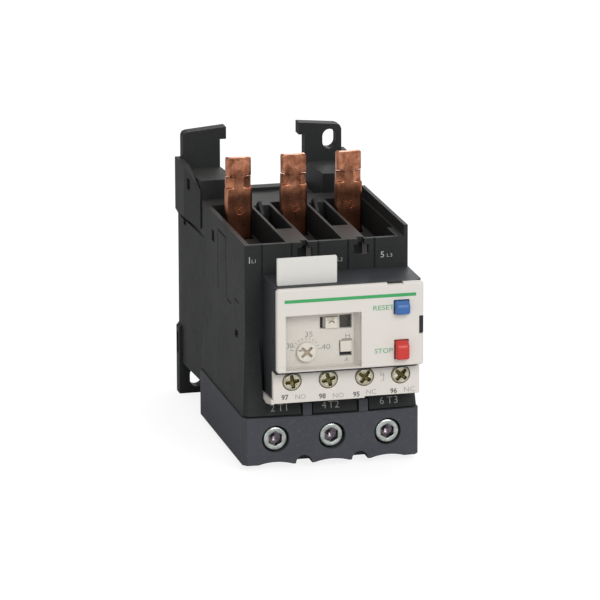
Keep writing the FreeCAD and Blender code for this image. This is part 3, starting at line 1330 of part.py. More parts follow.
def makeLever():
    """Trip lever on an upright pin: a rear arm with the compensating strip, and a side arm with a post."""
    upward = (leverFoot, leverHead)
    armEnd = "leverX + leverArm"
    half = "leverWidth / 2"
    hub = rod("LeverHub", "z", "leverHub", *upward, x="leverX", y="leverDepth")
    side = block("LeverSide", ("leverX", f"{armEnd} + postWidth / 2"),
                 (f"leverDepth - {half}", f"leverDepth + {half}"),
                 upward)
    rear = block("LeverRear", (compBack, f"{compBack} + postWidth"),
                 ("leverDepth", "leverDepth + compReach / 2"), upward)
    post = block("LeverPost", (f"{armEnd} - postWidth / 2", f"{armEnd} + postWidth / 2"),
                 (postFront, f"leverDepth + {half}"), (leverFoot, f"{contactFoot} + carriageTall"))
    bore = rod("LeverBore", "z", "leverPin + runningGap", f"{leverFoot} - cutPast",
               f"{leverHead} + cutPast",
               x="leverX", y="leverDepth")
    node("trip_lever", without("TripLever", joined("LeverBlank", [hub, side, rear, post]), [bore]))
    node("compensating_strip", block("CompensatingStrip", (compFace, compBack),
                                     ("leverDepth + leverWidth", "leverDepth + compReach"), upward))
    node("lever_pin", rod("LeverPin", "z", "leverPin", trayUnder, f"{leverHead} + pinRise", x="leverX",
                          y="leverDepth"))


def makeCarriage():
    """Contact carriage: a bar behind the contact tails, with arms to the lever and to the push buttons."""
    upward = (contactFoot, f"{contactFoot} + carriageTall")
    half = "carriageThickness / 2"
    middle = f"({moduleMiddle} + {auxPitch})"
    across = (f"{auxPlaces[97]} - carriageTall", f"{auxPlaces[96]} + carriageTall")
    bar = block("CarriageBar", across, (carriageFront, carriageBack), upward)
    stub = block("CarriageStub", (f"{middle} - {half}", f"{middle} + {half}"),
                 ("auxPlateDepth - fitGap", f"{carriageFront} + {half}"), upward)
    leg = block("CarriageLeg", (f"leverX + leverArm - {half}", f"leverX + leverArm + {half}"),
                (f"{carriageBack} - {half}", f"{postFront} - fingerGap"), upward)
    arm = block("CarriageArm", (f"{buttonX} - {half}", f"{buttonX} + {half}"),
                (carriageFront, carriageBack),
                (contactFoot, f"{resetZ} + plungerRadius + fitGap"))
    node("contact_carriage", joined("ContactCarriage", [bar, stub, leg, arm]))
    closed = ("auxPlateDepth - fitGap - bridgeThickness", "auxPlateDepth - fitGap")
    opened = (f"{carriageFront} - bridgeThickness", carriageFront)
    rise = (f"{contactFoot} + auxRim", f"{contactFoot} + auxRim + contactTall")
    for label, first, last, span in (("nc_bridge", 95, 96, closed), ("no_bridge", 97, 98, opened)):
        reach = (f"{auxPlaces[first]} - bridgeReach", f"{auxPlaces[last]} + bridgeReach")
        node(label, block(label.title().replace("_", ""), reach, span, rise))


# ---- build, test and write -------------------------------------------------------------------

def build():
    makeCasing()
    makeTray()
    makeShroud()
    makeRearPlate()
    makeModuleCasing()
    makeCover()
    makeStrip()
    makeMarker()
    makeFlap()
    makeDial()
    makeButtons()
    makeTestSlider()
    makeSelector()
    makeFlag()
    for pole, place in poles.items():
        makePole(pole, place)
        makeClamp(pole, place)
    for number, place in auxPlaces.items():
        makeAuxTerminal(number, place)
    makeSlides()
    makeLever()
    makeCarriage()
    doc.recompute()


def check():
    """Stops before anything is written if an object failed or a piece isn't sound."""
    for part in doc.Objects:
        if "Invalid" in part.State or "Error" in part.State:
            raise RuntimeError(f"{part.Name} failed: {part.State}")
    for part in nodes:
        if part.Shape.isNull() or not part.Shape.isValid() or not part.Shape.Solids:
            raise RuntimeError(f"{part.Label} is not a sound solid")


def write():
    os.makedirs("parts", exist_ok=True)
    for part in nodes:
        part.Shape.exportStep(f"parts/{part.Label}.step")
        box = part.Shape.BoundBox
        print(f"{part.Label}: {len(part.Shape.Solids)} solid, {part.Shape.Volume:.1f} mm3, "
              f"x {box.XMin:.2f} {box.XMax:.2f}, y {box.YMin:.2f} {box.YMax:.2f}, z {box.ZMin:.2f} {box.ZMax:.2f}")


build()
check()
write()
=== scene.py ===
import json
import math

import bmesh
import bpy
import numpy as np
from mathutils import Matrix, Vector


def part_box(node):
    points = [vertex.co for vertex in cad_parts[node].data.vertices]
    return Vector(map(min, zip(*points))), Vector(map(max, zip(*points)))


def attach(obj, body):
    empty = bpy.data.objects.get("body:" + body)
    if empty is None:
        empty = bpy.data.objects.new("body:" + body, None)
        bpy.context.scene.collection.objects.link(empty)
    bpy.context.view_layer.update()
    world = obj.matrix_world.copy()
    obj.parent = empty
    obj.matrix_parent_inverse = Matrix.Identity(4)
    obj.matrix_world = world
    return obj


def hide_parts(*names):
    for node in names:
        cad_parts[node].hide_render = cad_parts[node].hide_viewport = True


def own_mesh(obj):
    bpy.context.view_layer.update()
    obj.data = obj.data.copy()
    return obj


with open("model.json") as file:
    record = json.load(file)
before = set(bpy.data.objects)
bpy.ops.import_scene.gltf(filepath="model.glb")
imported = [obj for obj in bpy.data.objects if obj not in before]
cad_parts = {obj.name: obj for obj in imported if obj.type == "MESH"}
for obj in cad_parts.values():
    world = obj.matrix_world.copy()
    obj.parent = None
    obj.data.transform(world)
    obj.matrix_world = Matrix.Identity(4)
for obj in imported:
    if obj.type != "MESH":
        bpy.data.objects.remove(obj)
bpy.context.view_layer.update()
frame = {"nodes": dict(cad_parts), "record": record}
mm = 0.001

# shader maths


class Value:
    # one output of a node tree; Python operators make Math nodes
    def __init__(self, shader, socket):
        self.shader = shader
        self.socket = socket

    def math(self, operation, *terms):
        return self.shader.node("ShaderNodeMath", {"operation": operation}, dict(enumerate(terms)))

    def __add__(self, other):
        return self.math("ADD", self, other)

    __radd__ = __add__

    def __mul__(self, other):
        return self.math("MULTIPLY", self, other)

    __rmul__ = __mul__

    def __sub__(self, other):
        return self.math("SUBTRACT", self, other)

    def __rsub__(self, other):
        return self.math("SUBTRACT", other, self)

    def __truediv__(self, other):
        return self.math("DIVIDE", self, other)

    def __pow__(self, other):
        return self.math("POWER", self, other)

    def between(self, low, high):
        # 0 below low, 1 above high
        return self.shader.node("ShaderNodeMapRange", {"clamp": True},
                                {0: self, 1: low, 2: high, 3: 0.0, 4: 1.0})


class Shader:
    def __init__(self, name):
        self.material = bpy.data.materials.new(name)
        self.material.use_nodes = True
        self.tree = self.material.node_tree
        self.tree.nodes.clear()
        self.place = self.node("ShaderNodeTexCoord", {}, {}, "Object")

    def node(self, kind, settings, inputs, output=0):
        new = self.tree.nodes.new(kind)
        for key, value in settings.items():
            setattr(new, key, value)
        for key, value in inputs.items():
            if isinstance(value, Value):
                self.tree.links.new(value.socket, new.inputs[key])
            else:
                new.inputs[key].default_value = value
        return Value(self, new.outputs[output])

    def noise(self, size, detail=3.0, roughness=0.55, stretch=None, distortion=0.0):
        # 0..1 noise whose features are about size metres across
        place = self.place
        if stretch:
            place = self.node("ShaderNodeMapping", {}, {"Vector": place, "Scale": stretch})
        return self.node("ShaderNodeTexNoise", {}, {"Vector": place, "Scale": 1 / size, "Detail": detail,
                                                     "Roughness": roughness, "Distortion": distortion}, 0)

    def height(self, low, high):
        # 0 at the lower height and 1 at the upper, in metres
        return self.node("ShaderNodeSeparateXYZ", {}, {0: self.place}, 2).between(low, high)

    def upward(self):
        # 1 where the surface looks up; drives the painted light on top faces
        facing = self.node("ShaderNodeNewGeometry", {}, {}, "Normal")
        return self.node("ShaderNodeSeparateXYZ", {}, {0: facing}, 2).between(0.6, 0.95)

    def blend(self, factor, first, second):
        return self.node("ShaderNodeMix", {"data_type": "RGBA"}, {0: factor, 6: first, 7: second}, 2)

    def finish(self, surface):
        end = self.tree.nodes.new("ShaderNodeOutputMaterial")
        self.tree.links.new(surface.socket, end.inputs["Surface"])
        return self.material


def shade(red, green, blue):
    # linear colour from 0..255 display values
    channels = []
    for level in (red, green, blue):
        share = level / 255
        channels.append(share / 12.92 if share <= 0.04045 else ((share + 0.055) / 1.055) ** 2.4)
    return (*channels, 1.0)


def scaled(colour, factor):
    return (*[min(1.0, channel * factor) for channel in colour[:3]], 1.0)


def moulded(name, look):
    # injection-moulded plastic: fine spark-eroded grain, cloudy gloss, faint dust specks, softened edges, and
    # where asked, painted top light on upward faces
    s = Shader(name)
    colour = look["colour"]
    grain = s.noise(look["grain"], 4.0, 0.6)
    cloud = s.noise(0.012, 3.0, 0.5)
    speck = s.noise(0.0009, 2.0, 0.5).between(0.56, 0.72)
    dust = s.noise(0.004, 5.0, 0.65).between(0.5, 0.85)
    base = s.blend(cloud, scaled(colour, 1 - look["mottle"]), scaled(colour, 1 + look["mottle"]))
    base = s.blend(speck * look["dust"], base, scaled(colour, 1 + 5 * look["mottle"]))
    # painted light: upward faces blend towards a lighter colour as if lit from above, broken up by the dust
    # noise
    if "painted_top_light" in look:
        base = s.blend(s.upward() * (dust * 0.3 + 0.7), base, look["painted_top_light"])
    edge = s.node("ShaderNodeBevel", {"samples": 4}, {"Radius": look["edge"]})
    bump = s.node("ShaderNodeBump", {}, {"Strength": 1.0, "Distance": look["depth"], "Height": grain,
                                         "Normal": edge})
    rough = look["rough"] + (cloud - 0.5) * 0.12 + dust * 0.08
    surface = s.node("ShaderNodeBsdfPrincipled", {}, {"Base Color": base, "Roughness": rough, "Normal": bump,
                                                      "IOR": 1.5, "Specular IOR Level": look.get("gloss", 0.5)})
    return s.finish(surface)


def metal(name, look):
    # plated or rolled metal: grain along one direction, tarnish in patches, fine scratches, bright edges; where
    # a painted shade span is given, long tarnish streaks and painted shade below the span
    s = Shader(name)
    colour = look["colour"]
    grain = s.noise(0.0006, 4.0, 0.6, look["stretch"])
    patch = s.noise(look["patch"], 4.0, 0.6, None, 0.6)
    spot = s.noise(0.0007, 3.0, 0.6).between(0.6, 0.75)
    base = s.blend(patch.between(0.35, 0.7), colour, look["tarnish"])
    base = s.blend(spot * 0.35, base, scaled(look["tarnish"], 0.5))
    if "painted_shade_span" in look:
        streak = s.noise(0.0011, 3.0, 0.55, (1.0, 1.0, 0.12)).between(0.4, 0.7)
        base = s.blend(streak * 0.45, base, look["tarnish"])
        # painted shade: below the span the colour turns to a darker tarnish, rising back to full colour across
        # the span
        base = s.blend(s.height(*look["painted_shade_span"]), scaled(look["tarnish"], 0.75), base)
    edge = s.node("ShaderNodeBevel", {"samples": 4}, {"Radius": look["edge"]})
    bump = s.node("ShaderNodeBump", {}, {"Strength": 1.0, "Distance": look["depth"], "Height": grain,
                                         "Normal": edge})
    rough = look["rough"] + (patch - 0.5) * 0.3 + grain * 0.1
    surface = s.node("ShaderNodeBsdfPrincipled", {}, {"Base Color": base, "Roughness": rough, "Metallic": 1.0,
                                                      "Normal": bump})
    return s.finish(surface)


def clearPane(name):
    # thin clear plastic: shadow rays pass, a faint sheen with hairline scratches
    s = Shader(name)
    scratch = s.noise(0.0008, 3.0, 0.5, (1.0, 1.0, 0.05)).between(0.55, 0.8)
    film = s.noise(0.006, 3.0, 0.5)
    through = s.node("ShaderNodeBsdfTransparent", {}, {"Color": (0.99, 0.99, 0.985, 1.0)})
    sheen = s.node("ShaderNodeBsdfPrincipled", {}, {"Base Color": (0.9, 0.9, 0.88, 1.0),
                                                    "Roughness": 0.08 + scratch * 0.25 + film * 0.05})
    facing = s.node("ShaderNodeFresnel", {}, {"IOR": 1.45})
    gloss = facing * 0.3 + scratch * 0.01 + 0.004
    surface = s.node("ShaderNodeMixShader", {}, {0: gloss, 1: through, 2: sheen})
    s.material.surface_render_method = "BLENDED"
    return s.finish(surface)


looks = {
    # casing and module: the extra lighter colour is painted light for upward faces
    "casing_plastic": {"colour": shade(48, 49, 49), "rough": 0.5, "grain": 0.00028, "depth": 0.000014,
                       "mottle": 0.10, "dust": 0.5, "edge": 0.0003, "gloss": 0.05,
                       "painted_top_light": shade(70, 69, 68)},
    "shroud_plastic": {"colour": shade(73, 74, 79), "rough": 0.55, "grain": 0.0003, "depth": 0.000018,
                       "mottle": 0.10, "dust": 0.5, "edge": 0.00035, "gloss": 0.06},
    "module_plastic": {"colour": shade(47, 49, 51), "rough": 0.5, "grain": 0.00028, "depth": 0.000012,
                       "mottle": 0.10, "dust": 0.4, "edge": 0.0003, "gloss": 0.12,
                       "painted_top_light": shade(62, 65, 68)},
    "cover_plastic": {"colour": shade(214, 209, 202), "rough": 0.48, "grain": 0.00035, "depth": 0.00001,
                      "mottle": 0.012, "dust": 0.2, "edge": 0.0003, "gloss": 0.3},
    "marker_plastic": {"colour": shade(213, 212, 206), "rough": 0.5, "grain": 0.0004, "depth": 0.000008,
                       "mottle": 0.01, "dust": 0.2, "edge": 0.0002, "gloss": 0.3},
    "dial_plastic": {"colour": shade(222, 216, 206), "rough": 0.45, "grain": 0.0003, "depth": 0.000008,
                     "mottle": 0.012, "dust": 0.2, "edge": 0.00025, "gloss": 0.3},
    "reset_plastic": {"colour": shade(50, 98, 160), "rough": 0.36, "grain": 0.0003, "depth": 0.000006,
                      "mottle": 0.05, "dust": 0.3, "edge": 0.0004},
    "stop_plastic": {"colour": shade(196, 48, 42), "rough": 0.36, "grain": 0.0003, "depth": 0.000006,
                     "mottle": 0.05, "dust": 0.3, "edge": 0.0004},
    "flag_plastic": {"colour": shade(84, 82, 76), "rough": 0.5, "grain": 0.0003, "depth": 0.00001,
                     "mottle": 0.08, "dust": 0.4, "edge": 0.0002},
    "gear_plastic": {"colour": shade(188, 176, 150), "rough": 0.5, "grain": 0.0003, "depth": 0.00001,
                     "mottle": 0.04, "dust": 0.3, "edge": 0.0002},
}
metalLooks = {
    "spring_steel": {"colour": shade(190, 190, 188), "tarnish": shade(150, 148, 142), "patch": 0.004,
                     "rough": 0.32, "stretch": (1, 1, 1), "depth": 0.000004, "edge": 0.00005},
    # copper: the height span ends the painted shade on the blades' lower part
    "copper": {"colour": shade(228, 158, 124), "tarnish": shade(128, 76, 54), "patch": 0.0035,
               "rough": 0.27, "stretch": (3, 3, 0.3), "depth": 0.00002, "edge": 0.00025,
               "painted_shade_span": (0.060, 0.0765)},
    "bimetal_metal": {"colour": shade(188, 180, 165), "tarnish": shade(150, 140, 120), "patch": 0.004,
                      "rough": 0.35, "stretch": (3, 3, 0.3), "depth": 0.000008, "edge": 0.0001},
    "resistance_wire": {"colour": shade(170, 164, 154), "tarnish": shade(120, 112, 102), "patch": 0.003,
                        "rough": 0.4, "stretch": (1, 1, 1), "depth": 0.000006, "edge": 0.00005},
    "zinc_steel": {"colour": shade(206, 212, 208), "tarnish": shade(164, 174, 168), "patch": 0.0022,
                   "rough": 0.28, "stretch": (1, 1, 1), "depth": 0.000008, "edge": 0.0002},
    "yellow_zinc": {"colour": shade(222, 218, 202), "tarnish": shade(176, 168, 136), "patch": 0.0018,
                    "rough": 0.24, "stretch": (1, 1, 1), "depth": 0.000008, "edge": 0.00015},
    "contact_brass": {"colour": shade(206, 176, 110), "tarnish": shade(160, 130, 76), "patch": 0.003,
                      "rough": 0.33, "stretch": (3, 3, 0.3), "depth": 0.000008, "edge": 0.0001},
}

materials = {slot: moulded(slot, look) for slot, look in looks.items()}
materials.update({slot: metal(slot, look) for slot, look in metalLooks.items()})
materials["clear_plastic"] = clearPane("clear_plastic")
for entry in frame["record"]["subparts"]:
    shown = frame["nodes"][entry["node"]]
    shown.data.materials.clear()
    shown.data.materials.append(materials[entry["material_slot"]])
print("materials", len(materials))


def ink(name, colour, rough=0.55):
    # printed ink: slightly uneven cover over the plastic's grain
    s = Shader(name)
    wear = s.noise(0.0005, 3.0, 0.6)
    base = s.blend(wear.between(0.3, 0.8), scaled(colour, 0.9), scaled(colour, 1.08))
    surface = s.node("ShaderNodeBsdfPrincipled", {},
                     {"Base Color": base, "Roughness": rough + (wear - 0.5) * 0.2})
    return s.finish(surface)


inks = {
    "white": ink("white_ink", shade(182, 182, 180)),
    "faded": ink("faded_ink", shade(146, 146, 143)),
    "grey": ink("grey_ink", shade(150, 147, 141)),
    "dark": ink("dark_ink", shade(96, 94, 90)),
    "green": ink("green_ink", shade(56, 158, 92)),
    "pale_green": ink("pale_green_ink", shade(104, 166, 124)),
}

# pieces


def gridFaces(rows, columns):
    # quads between neighbouring rows of points; the last column joins the first again
    row, column = np.meshgrid(np.arange(rows - 1), np.arange(columns), indexing="ij")
    after = (column + 1) % columns
    quads = np.stack([row * columns + column, row * columns + after,
                      (row + 1) * columns + after, (row + 1) * columns + column], axis=-1)
    return quads.reshape(-1, 4)


def ringForm(rings):
    # points and faces of a closed skin: rings (rows, columns, 3) joined row to row, both ends capped
    rows, columns = rings.shape[:2]
    faces = gridFaces(rows, columns).tolist()
    faces.append(list(range(columns - 1, -1, -1)))
    faces.append(list(range((rows - 1) * columns, rows * columns)))
    return rings.reshape(-1, 3), faces


def combined(forms):
    # several skins as one set of points and faces
    points, faces, start = [], [], 0
    for formPoints, formFaces in forms:
        points.append(np.asarray(formPoints, float))
        faces += [[start + index for index in face] for face in formFaces]
        start += len(formPoints)
    return np.concatenate(points), faces


def meshPiece(name, form, material, body, smoothTo=None, inner=None, innerMaterial=None):
    # one object from points in millimetres; inner picks the faces (by centre) that take the second material
    points, faces = form
    mesh = bpy.data.meshes.new(name)
    mesh.from_pydata((np.asarray(points, float) * mm).tolist(), [], faces)
    work = bmesh.new()
    work.from_mesh(mesh)
    bmesh.ops.remove_doubles(work, verts=work.verts, dist=2e-6)
    bmesh.ops.recalc_face_normals(work, faces=work.faces)
    work.to_mesh(mesh)
    work.free()
    mesh.materials.append(material)
    if inner:
        mesh.materials.append(innerMaterial)
        centres = np.empty(len(mesh.polygons) * 3)
        mesh.polygons.foreach_get("center", centres)
        chosen = inner(centres.reshape(-1, 3) / mm).astype(np.int32)
        mesh.polygons.foreach_set("material_index", chosen)
    if smoothTo:
        mesh.shade_smooth()
        mesh.set_sharp_from_angle(angle=math.radians(smoothTo))
    piece = bpy.data.objects.new(name, mesh)
    bpy.context.scene.collection.objects.link(piece)
    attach(piece, body)
    return piece


def smooth(value):
    # 0 below 0, 1 above 1, an S curve between
    share = np.clip(value, 0, 1)
    return share * share * (3 - 2 * share)


def roundedRing(halfWide, halfTall, radius, count=48):
    # rounded rectangle: a circle of the corner radius whose quarters are pushed apart by the straight sides
    angle = (np.arange(count) + 0.5) * 2 * np.pi / count
    across, up = np.cos(angle), np.sin(angle)
    radius = min(radius, halfWide, halfTall)
    return np.stack([np.sign(across) * (halfWide - radius) + across * radius,
                     np.sign(up) * (halfTall - radius) + up * radius], axis=-1)


def loft(rows, x, z):
    # rounded rectangles along Y: each row gives its y, half width, foot, head and corner radius
    rings = []
    for y, halfWide, foot, head, radius in rows:
        ring = roundedRing(halfWide, (head - foot) / 2, radius)
        up = z + (foot + head) / 2 + ring[:, 1]
        rings.append(np.column_stack([x + ring[:, 0], np.full(len(ring), y), up]))
    return ringForm(np.array(rings))


def around(radii, depths, x, z):
    # surface about an axis along Y: radii and depths are (rows, columns) over the angle from +X towards +Z
    angle = np.arange(radii.shape[1]) * 2 * np.pi / radii.shape[1]
    return ringForm(np.stack([x + radii * np.cos(angle), depths, z + radii * np.sin(angle)], axis=-1))


def threadRows(radius, depth, pitch, start, end, columns):
    # screw thread: the radius is a triangle wave of the distance along the axis less the turn's share of pitch
    along = np.linspace(start, end, max(4, int((end - start) / pitch * 8)))
    turn = np.arange(columns) / columns
    phase = (along[:, None] / pitch - turn[None, :]) % 1
    radii = radius - depth * np.abs(2 * phase - 1)
    return radii, np.repeat(along[:, None], columns, axis=1)


def level(value, columns):
    return np.full((1, columns), value)


# blades


def bladeSkin(low, high):
    # upright: rows from foot to head; the front runs left to right and the back returns;
    # both fold back towards the sides by a smooth step, strongly between the crimp and the slits
    heights = np.concatenate([
        np.linspace(low.z / mm + 6.7, blade["crimp"] - 0.4, 44),
        np.linspace(blade["crimp"] - 0.3, blade["crimp"] + 0.4, 12),
        np.linspace(blade["crimp"] + 0.5, blade["slit"] - 0.15, 16),
        blade["slit"] + np.array([-0.06, 0, 0.001, 0.35, 0.351, 0.42, 0.5]),
        np.linspace(blade["slit"] + 0.7, high.z / mm - 0.55, 14),
        high.z / mm - np.array([0.42, 0.25, 0.12, 0.04, 0]),
    ])
    crimp, slit, top = blade["crimp"], blade["slit"], high.z / mm
    edge = np.interp(heights, [crimp - 0.3, crimp + 0.3, slit, slit + 0.001, slit + 0.35, slit + 0.351,
                               top - 0.5, top - 0.15, top], [4.2, 3.9, 3.9, 2.4, 2.4, 3.9, 3.9, 3.75, 3.45])
    share = np.linspace(-1, 1, 45)
    across = edge[:, None] * share[None, :]
    away = np.abs(across)
    inNeck = smooth((heights - blade["crimp"]) / 0.35) * (1 - smooth((heights - blade["slit"] + 0.25) / 0.2))
    wing = blade["fold"] * smooth((away - 1.35) / (edge[:, None] - 1.35 + 1e-6)) ** 0.8
    rim = blade["rim"] * smooth((away - edge[:, None] + 0.85) / 0.85) ** 2
    back = inNeck[:, None] * wing + (1 - inNeck[:, None]) * rim
    wave = 0.05 * np.sin(heights * 0.9)[:, None] + 0.04 * np.sin(across * 1.3 + heights[:, None] * 0.35)
    middle = (low.x + high.x) / 2 / mm
    face = high.y / mm - 1.6 + back + wave
    upward = np.repeat(heights[:, None], len(share), axis=1)
    front = np.stack([middle + across, face, upward], axis=-1)
    rear = np.stack([middle + across, face + 1.6, upward], axis=-1)[:, ::-1]
    return ringForm(np.concatenate([front, rear], axis=1))


def strap(profile, left, right):
    # a bent strip: one outline in YZ carried from the left side to the right
    outline = np.array(profile, float)
    rings = [np.column_stack([np.full(len(outline), x), outline]) for x in (left, right)]
    return ringForm(np.array(rings))


def arcStrip(x, y, z, radius, start, end, width, tall):
    # a raised stroke: a small four-sided section carried along part of a circle facing the front
    angle = np.radians(np.linspace(start, end, 20))
    rings = []
    for reach, lift in ((radius - width / 2, 0.05), (radius - width / 4, -tall), (radius + width / 4, -tall),
                        (radius + width / 2, 0.05)):
        across, up = x + reach * np.cos(angle), z + reach * np.sin(angle)
        rings.append(np.stack([across, np.full(20, y + lift), up], axis=-1))
    return ringForm(np.stack(rings, axis=1))


# painted highlight: the raised stamp strokes take a brighter copper than the blade, as if catching the light
stampHighlightMetal = metal("stamp_highlight_copper", {"colour": shade(236, 150, 112), "tarnish": shade(196, 108, 76),
                                    "patch": 0.001, "rough": 0.3, "stretch": (1, 1, 1),
                                    "depth": 0.000004, "edge": 0.00005})
blade = {"crimp": 76.75, "slit": 80.4, "fold": 1.0, "rim": 0.5}
for pole in (1, 2, 3):
    low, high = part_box(f"blade_{pole}")
    middle, rear = (low.x + high.x) / 2 / mm, high.y / mm
    foot = [(-4.15, 51.0), (-2.7, 51.0), (-2.7, 57.6), (-2.55, 57.7), (rear - 0.1, 57.7), (rear, 57.8),
            (rear, 59.1), (rear - 0.1, 59.2), (-4.0, 59.2), (-4.2, 59.0)]
    form = combined([bladeSkin(low, high), strap(foot, middle - 3.9, middle + 3.9)])
    piece = meshPiece(f"blade_form_{pole}", form, materials["copper"], "frame_body", 40)
    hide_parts(f"blade_{pole}")
    face = rear - 1.55
    stamp = combined([
        arcStrip(middle + 0.15, face, 69.6, 1.15, 200 + 25 * pole, 420 + 10 * pole, 0.26, 0.2),
        arcStrip(middle - 0.1, face, 69.5, 0.62, 20 * pole, 250, 0.24, 0.2),
        arcStrip(middle + 1.5, face, 68.8, 0.4, 60, 200, 0.2, 0.18),
        arcStrip(middle - 0.9, face, 70.2, 0.5, 90, 220, 0.2, 0.18),
    ])
    meshPiece(f"blade_stamp_{pole}", stamp, stampHighlightMetal, "frame_body", 40)
print("blades")

# screws


auxLook = {"rim": 2.85, "shank": 1.75, "head": 2.7, "arm": 0.66, "armEnd": 2.25, "deep": 1.5,
           "pitch": 0.6, "thread": 0.22}


def auxScrew(x, z, front, turn):
    # pan head with a tapering cross recess, a straight rim, a flat underside and a threaded shank;
    # the recess is a depth over the face: full inside each arm, falling off towards the arm's end;
    # a faint tick is pressed between each two arms
    columns = 160
    angle = np.arange(columns) * 2 * np.pi / columns
    reach = np.concatenate([np.linspace(0.02, 2.45, 44), [2.58, 2.7, 2.79, 2.84, 2.85]])[:, None]
    dome = 0.4 * (reach / auxLook["rim"]) ** 3 + 0.62 * smooth((reach - 2.2) / 0.65) ** 2
    along = reach * np.cos(angle - turn)
    aside = reach * np.sin(angle - turn)
    depth = np.zeros_like(along)
    for first, second in ((along, aside), (aside, along)):
        arm = smooth((auxLook["arm"] - 0.06 * np.abs(first) - np.abs(second)) / 0.14)
        end = smooth((auxLook["armEnd"] - np.abs(first)) / 0.5)
        depth = np.maximum(depth, arm * end * (auxLook["deep"] - 0.3 * np.abs(first)))
    spread = np.abs(np.abs(along) - np.abs(aside))
    tick = smooth((0.1 - spread) / 0.08) * smooth((reach - 0.8) / 0.2) * smooth((1.9 - reach) / 0.2)
    depth = np.maximum(depth, 0.18 * tick)
    radii = np.repeat(reach, columns, axis=1)
    headRows = front + dome + depth
    under = front + auxLook["head"]
    threadRadii, threadDepths = threadRows(auxLook["shank"], auxLook["thread"], auxLook["pitch"],
                                           under + 0.3, under + 8.1, columns)
    radii = np.concatenate([radii, level(auxLook["rim"], columns), level(auxLook["rim"] - 0.15, columns),
                            level(auxLook["shank"], columns), threadRadii,
                            level(1.2, columns), level(0.4, columns)])
    depths = np.concatenate([headRows, level(under - 0.12, columns), level(under, columns),
                             level(under, columns), threadDepths,
                             level(under + 8.45, columns), level(under + 8.5, columns)])
    return around(radii, depths, x, z)


def clampScrew(x, z, front):
    # cheese head with a hexagon socket: the socket's rim is the hexagon's distance from the middle for each
    # angle, its floor a shallow drilled cone; outside a flat ring, a rounded rim and a threaded shank
    columns = 144
    angle = np.arange(columns) * 2 * np.pi / columns
    flat = np.mod(angle + np.pi / 6, np.pi / 3) - np.pi / 6
    hexagon = np.minimum(screwLook["socket"] / np.cos(flat), screwLook["socket"] * 1.12)
    rows = [(0.02, 3.1), (0.6, 2.75), (1.5, 2.35)]
    radii = [np.full(columns, radius) for radius, depth in rows]
    depths = [np.full(columns, depth) for radius, depth in rows]
    for spread, depth in ((0.0, 2.3), (0.0, 0.25), (0.1, 0.08), (0.24, 0.0)):
        radii.append(hexagon + spread)
        depths.append(np.full(columns, depth))
    for radius, depth in ((3.05, 0.0), (3.25, 0.02), (3.5, 0.12), (3.67, 0.3), (3.74, 0.5),
                          (3.75, 0.7), (3.75, 3.2), (3.6, 3.4), (2.5, 3.4)):
        radii.append(np.full(columns, radius))
        depths.append(np.full(columns, depth))
    threadRadii, threadDepths = threadRows(2.5, 0.28, 0.8, front + 3.7, front + 14.4, columns)
    radii = np.concatenate([np.array(radii), threadRadii, level(1.9, columns), level(0.5, columns)])
    depths = np.concatenate([front + np.array(depths), threadDepths, level(front + 14.9, columns),
                             level(front + 15.0, columns)])
    return around(radii, depths, x, z)


# painted shade: the faces inside the aux screws' cross recesses and the clamp screws' hexagon sockets take
# these dark metals
slotPaintedShade = metal("slot_shade", {"colour": shade(120, 112, 74), "tarnish": shade(74, 66, 40), "patch": 0.0012,
                                 "rough": 0.4, "stretch": (1, 1, 1), "depth": 0.00001, "edge": 0.00008})
socketPaintedShade = metal("socket_shade", {"colour": shade(132, 124, 130), "tarnish": shade(70, 62, 68),
                                     "patch": 0.0011, "rough": 0.16, "stretch": (1, 1, 1),
                                     "depth": 0.000004, "edge": 0.00008})


def recessed(low, high, radius, sunk):
    # faces of a head that lie inside radius and more than sunk below the foremost point
    x, z, front = (low.x + high.x) / 2 / mm, (low.z + high.z) / 2 / mm, low.y / mm
    return lambda centre: ((np.hypot(centre[:, 0] - x, centre[:, 2] - z) < radius)
                           & (centre[:, 1] > front + sunk) & (centre[:, 1] < front + 3.3))


screwLook = {"socket": 1.98, "turns": {97: 0.15, 98: 0.28, 95: 0.95, 96: 0.85}}
for number, turn in screwLook["turns"].items():
    low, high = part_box(f"aux_screw_{number}")
    form = auxScrew((low.x + high.x) / 2 / mm, (low.z + high.z) / 2 / mm, low.y / mm, turn)
    piece = meshPiece(f"aux_screw_form_{number}", form, materials["yellow_zinc"],
                      f"aux_screw_{number}", 40, recessed(low, high, 2.2, 0.62), slotPaintedShade)
    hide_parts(f"aux_screw_{number}")
for pole in (1, 2, 3):
    low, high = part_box(f"clamp_screw_{pole}")
    form = clampScrew((low.x + high.x) / 2 / mm, (low.z + high.z) / 2 / mm, low.y / mm)
    piece = meshPiece(f"clamp_screw_form_{pole}", form, materials["zinc_steel"],
                      f"clamp_screw_{pole}", 35, recessed(low, high, 2.3, 0.18), socketPaintedShade)
    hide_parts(f"clamp_screw_{pole}")
print("screws")

# buttons, dial and sliders


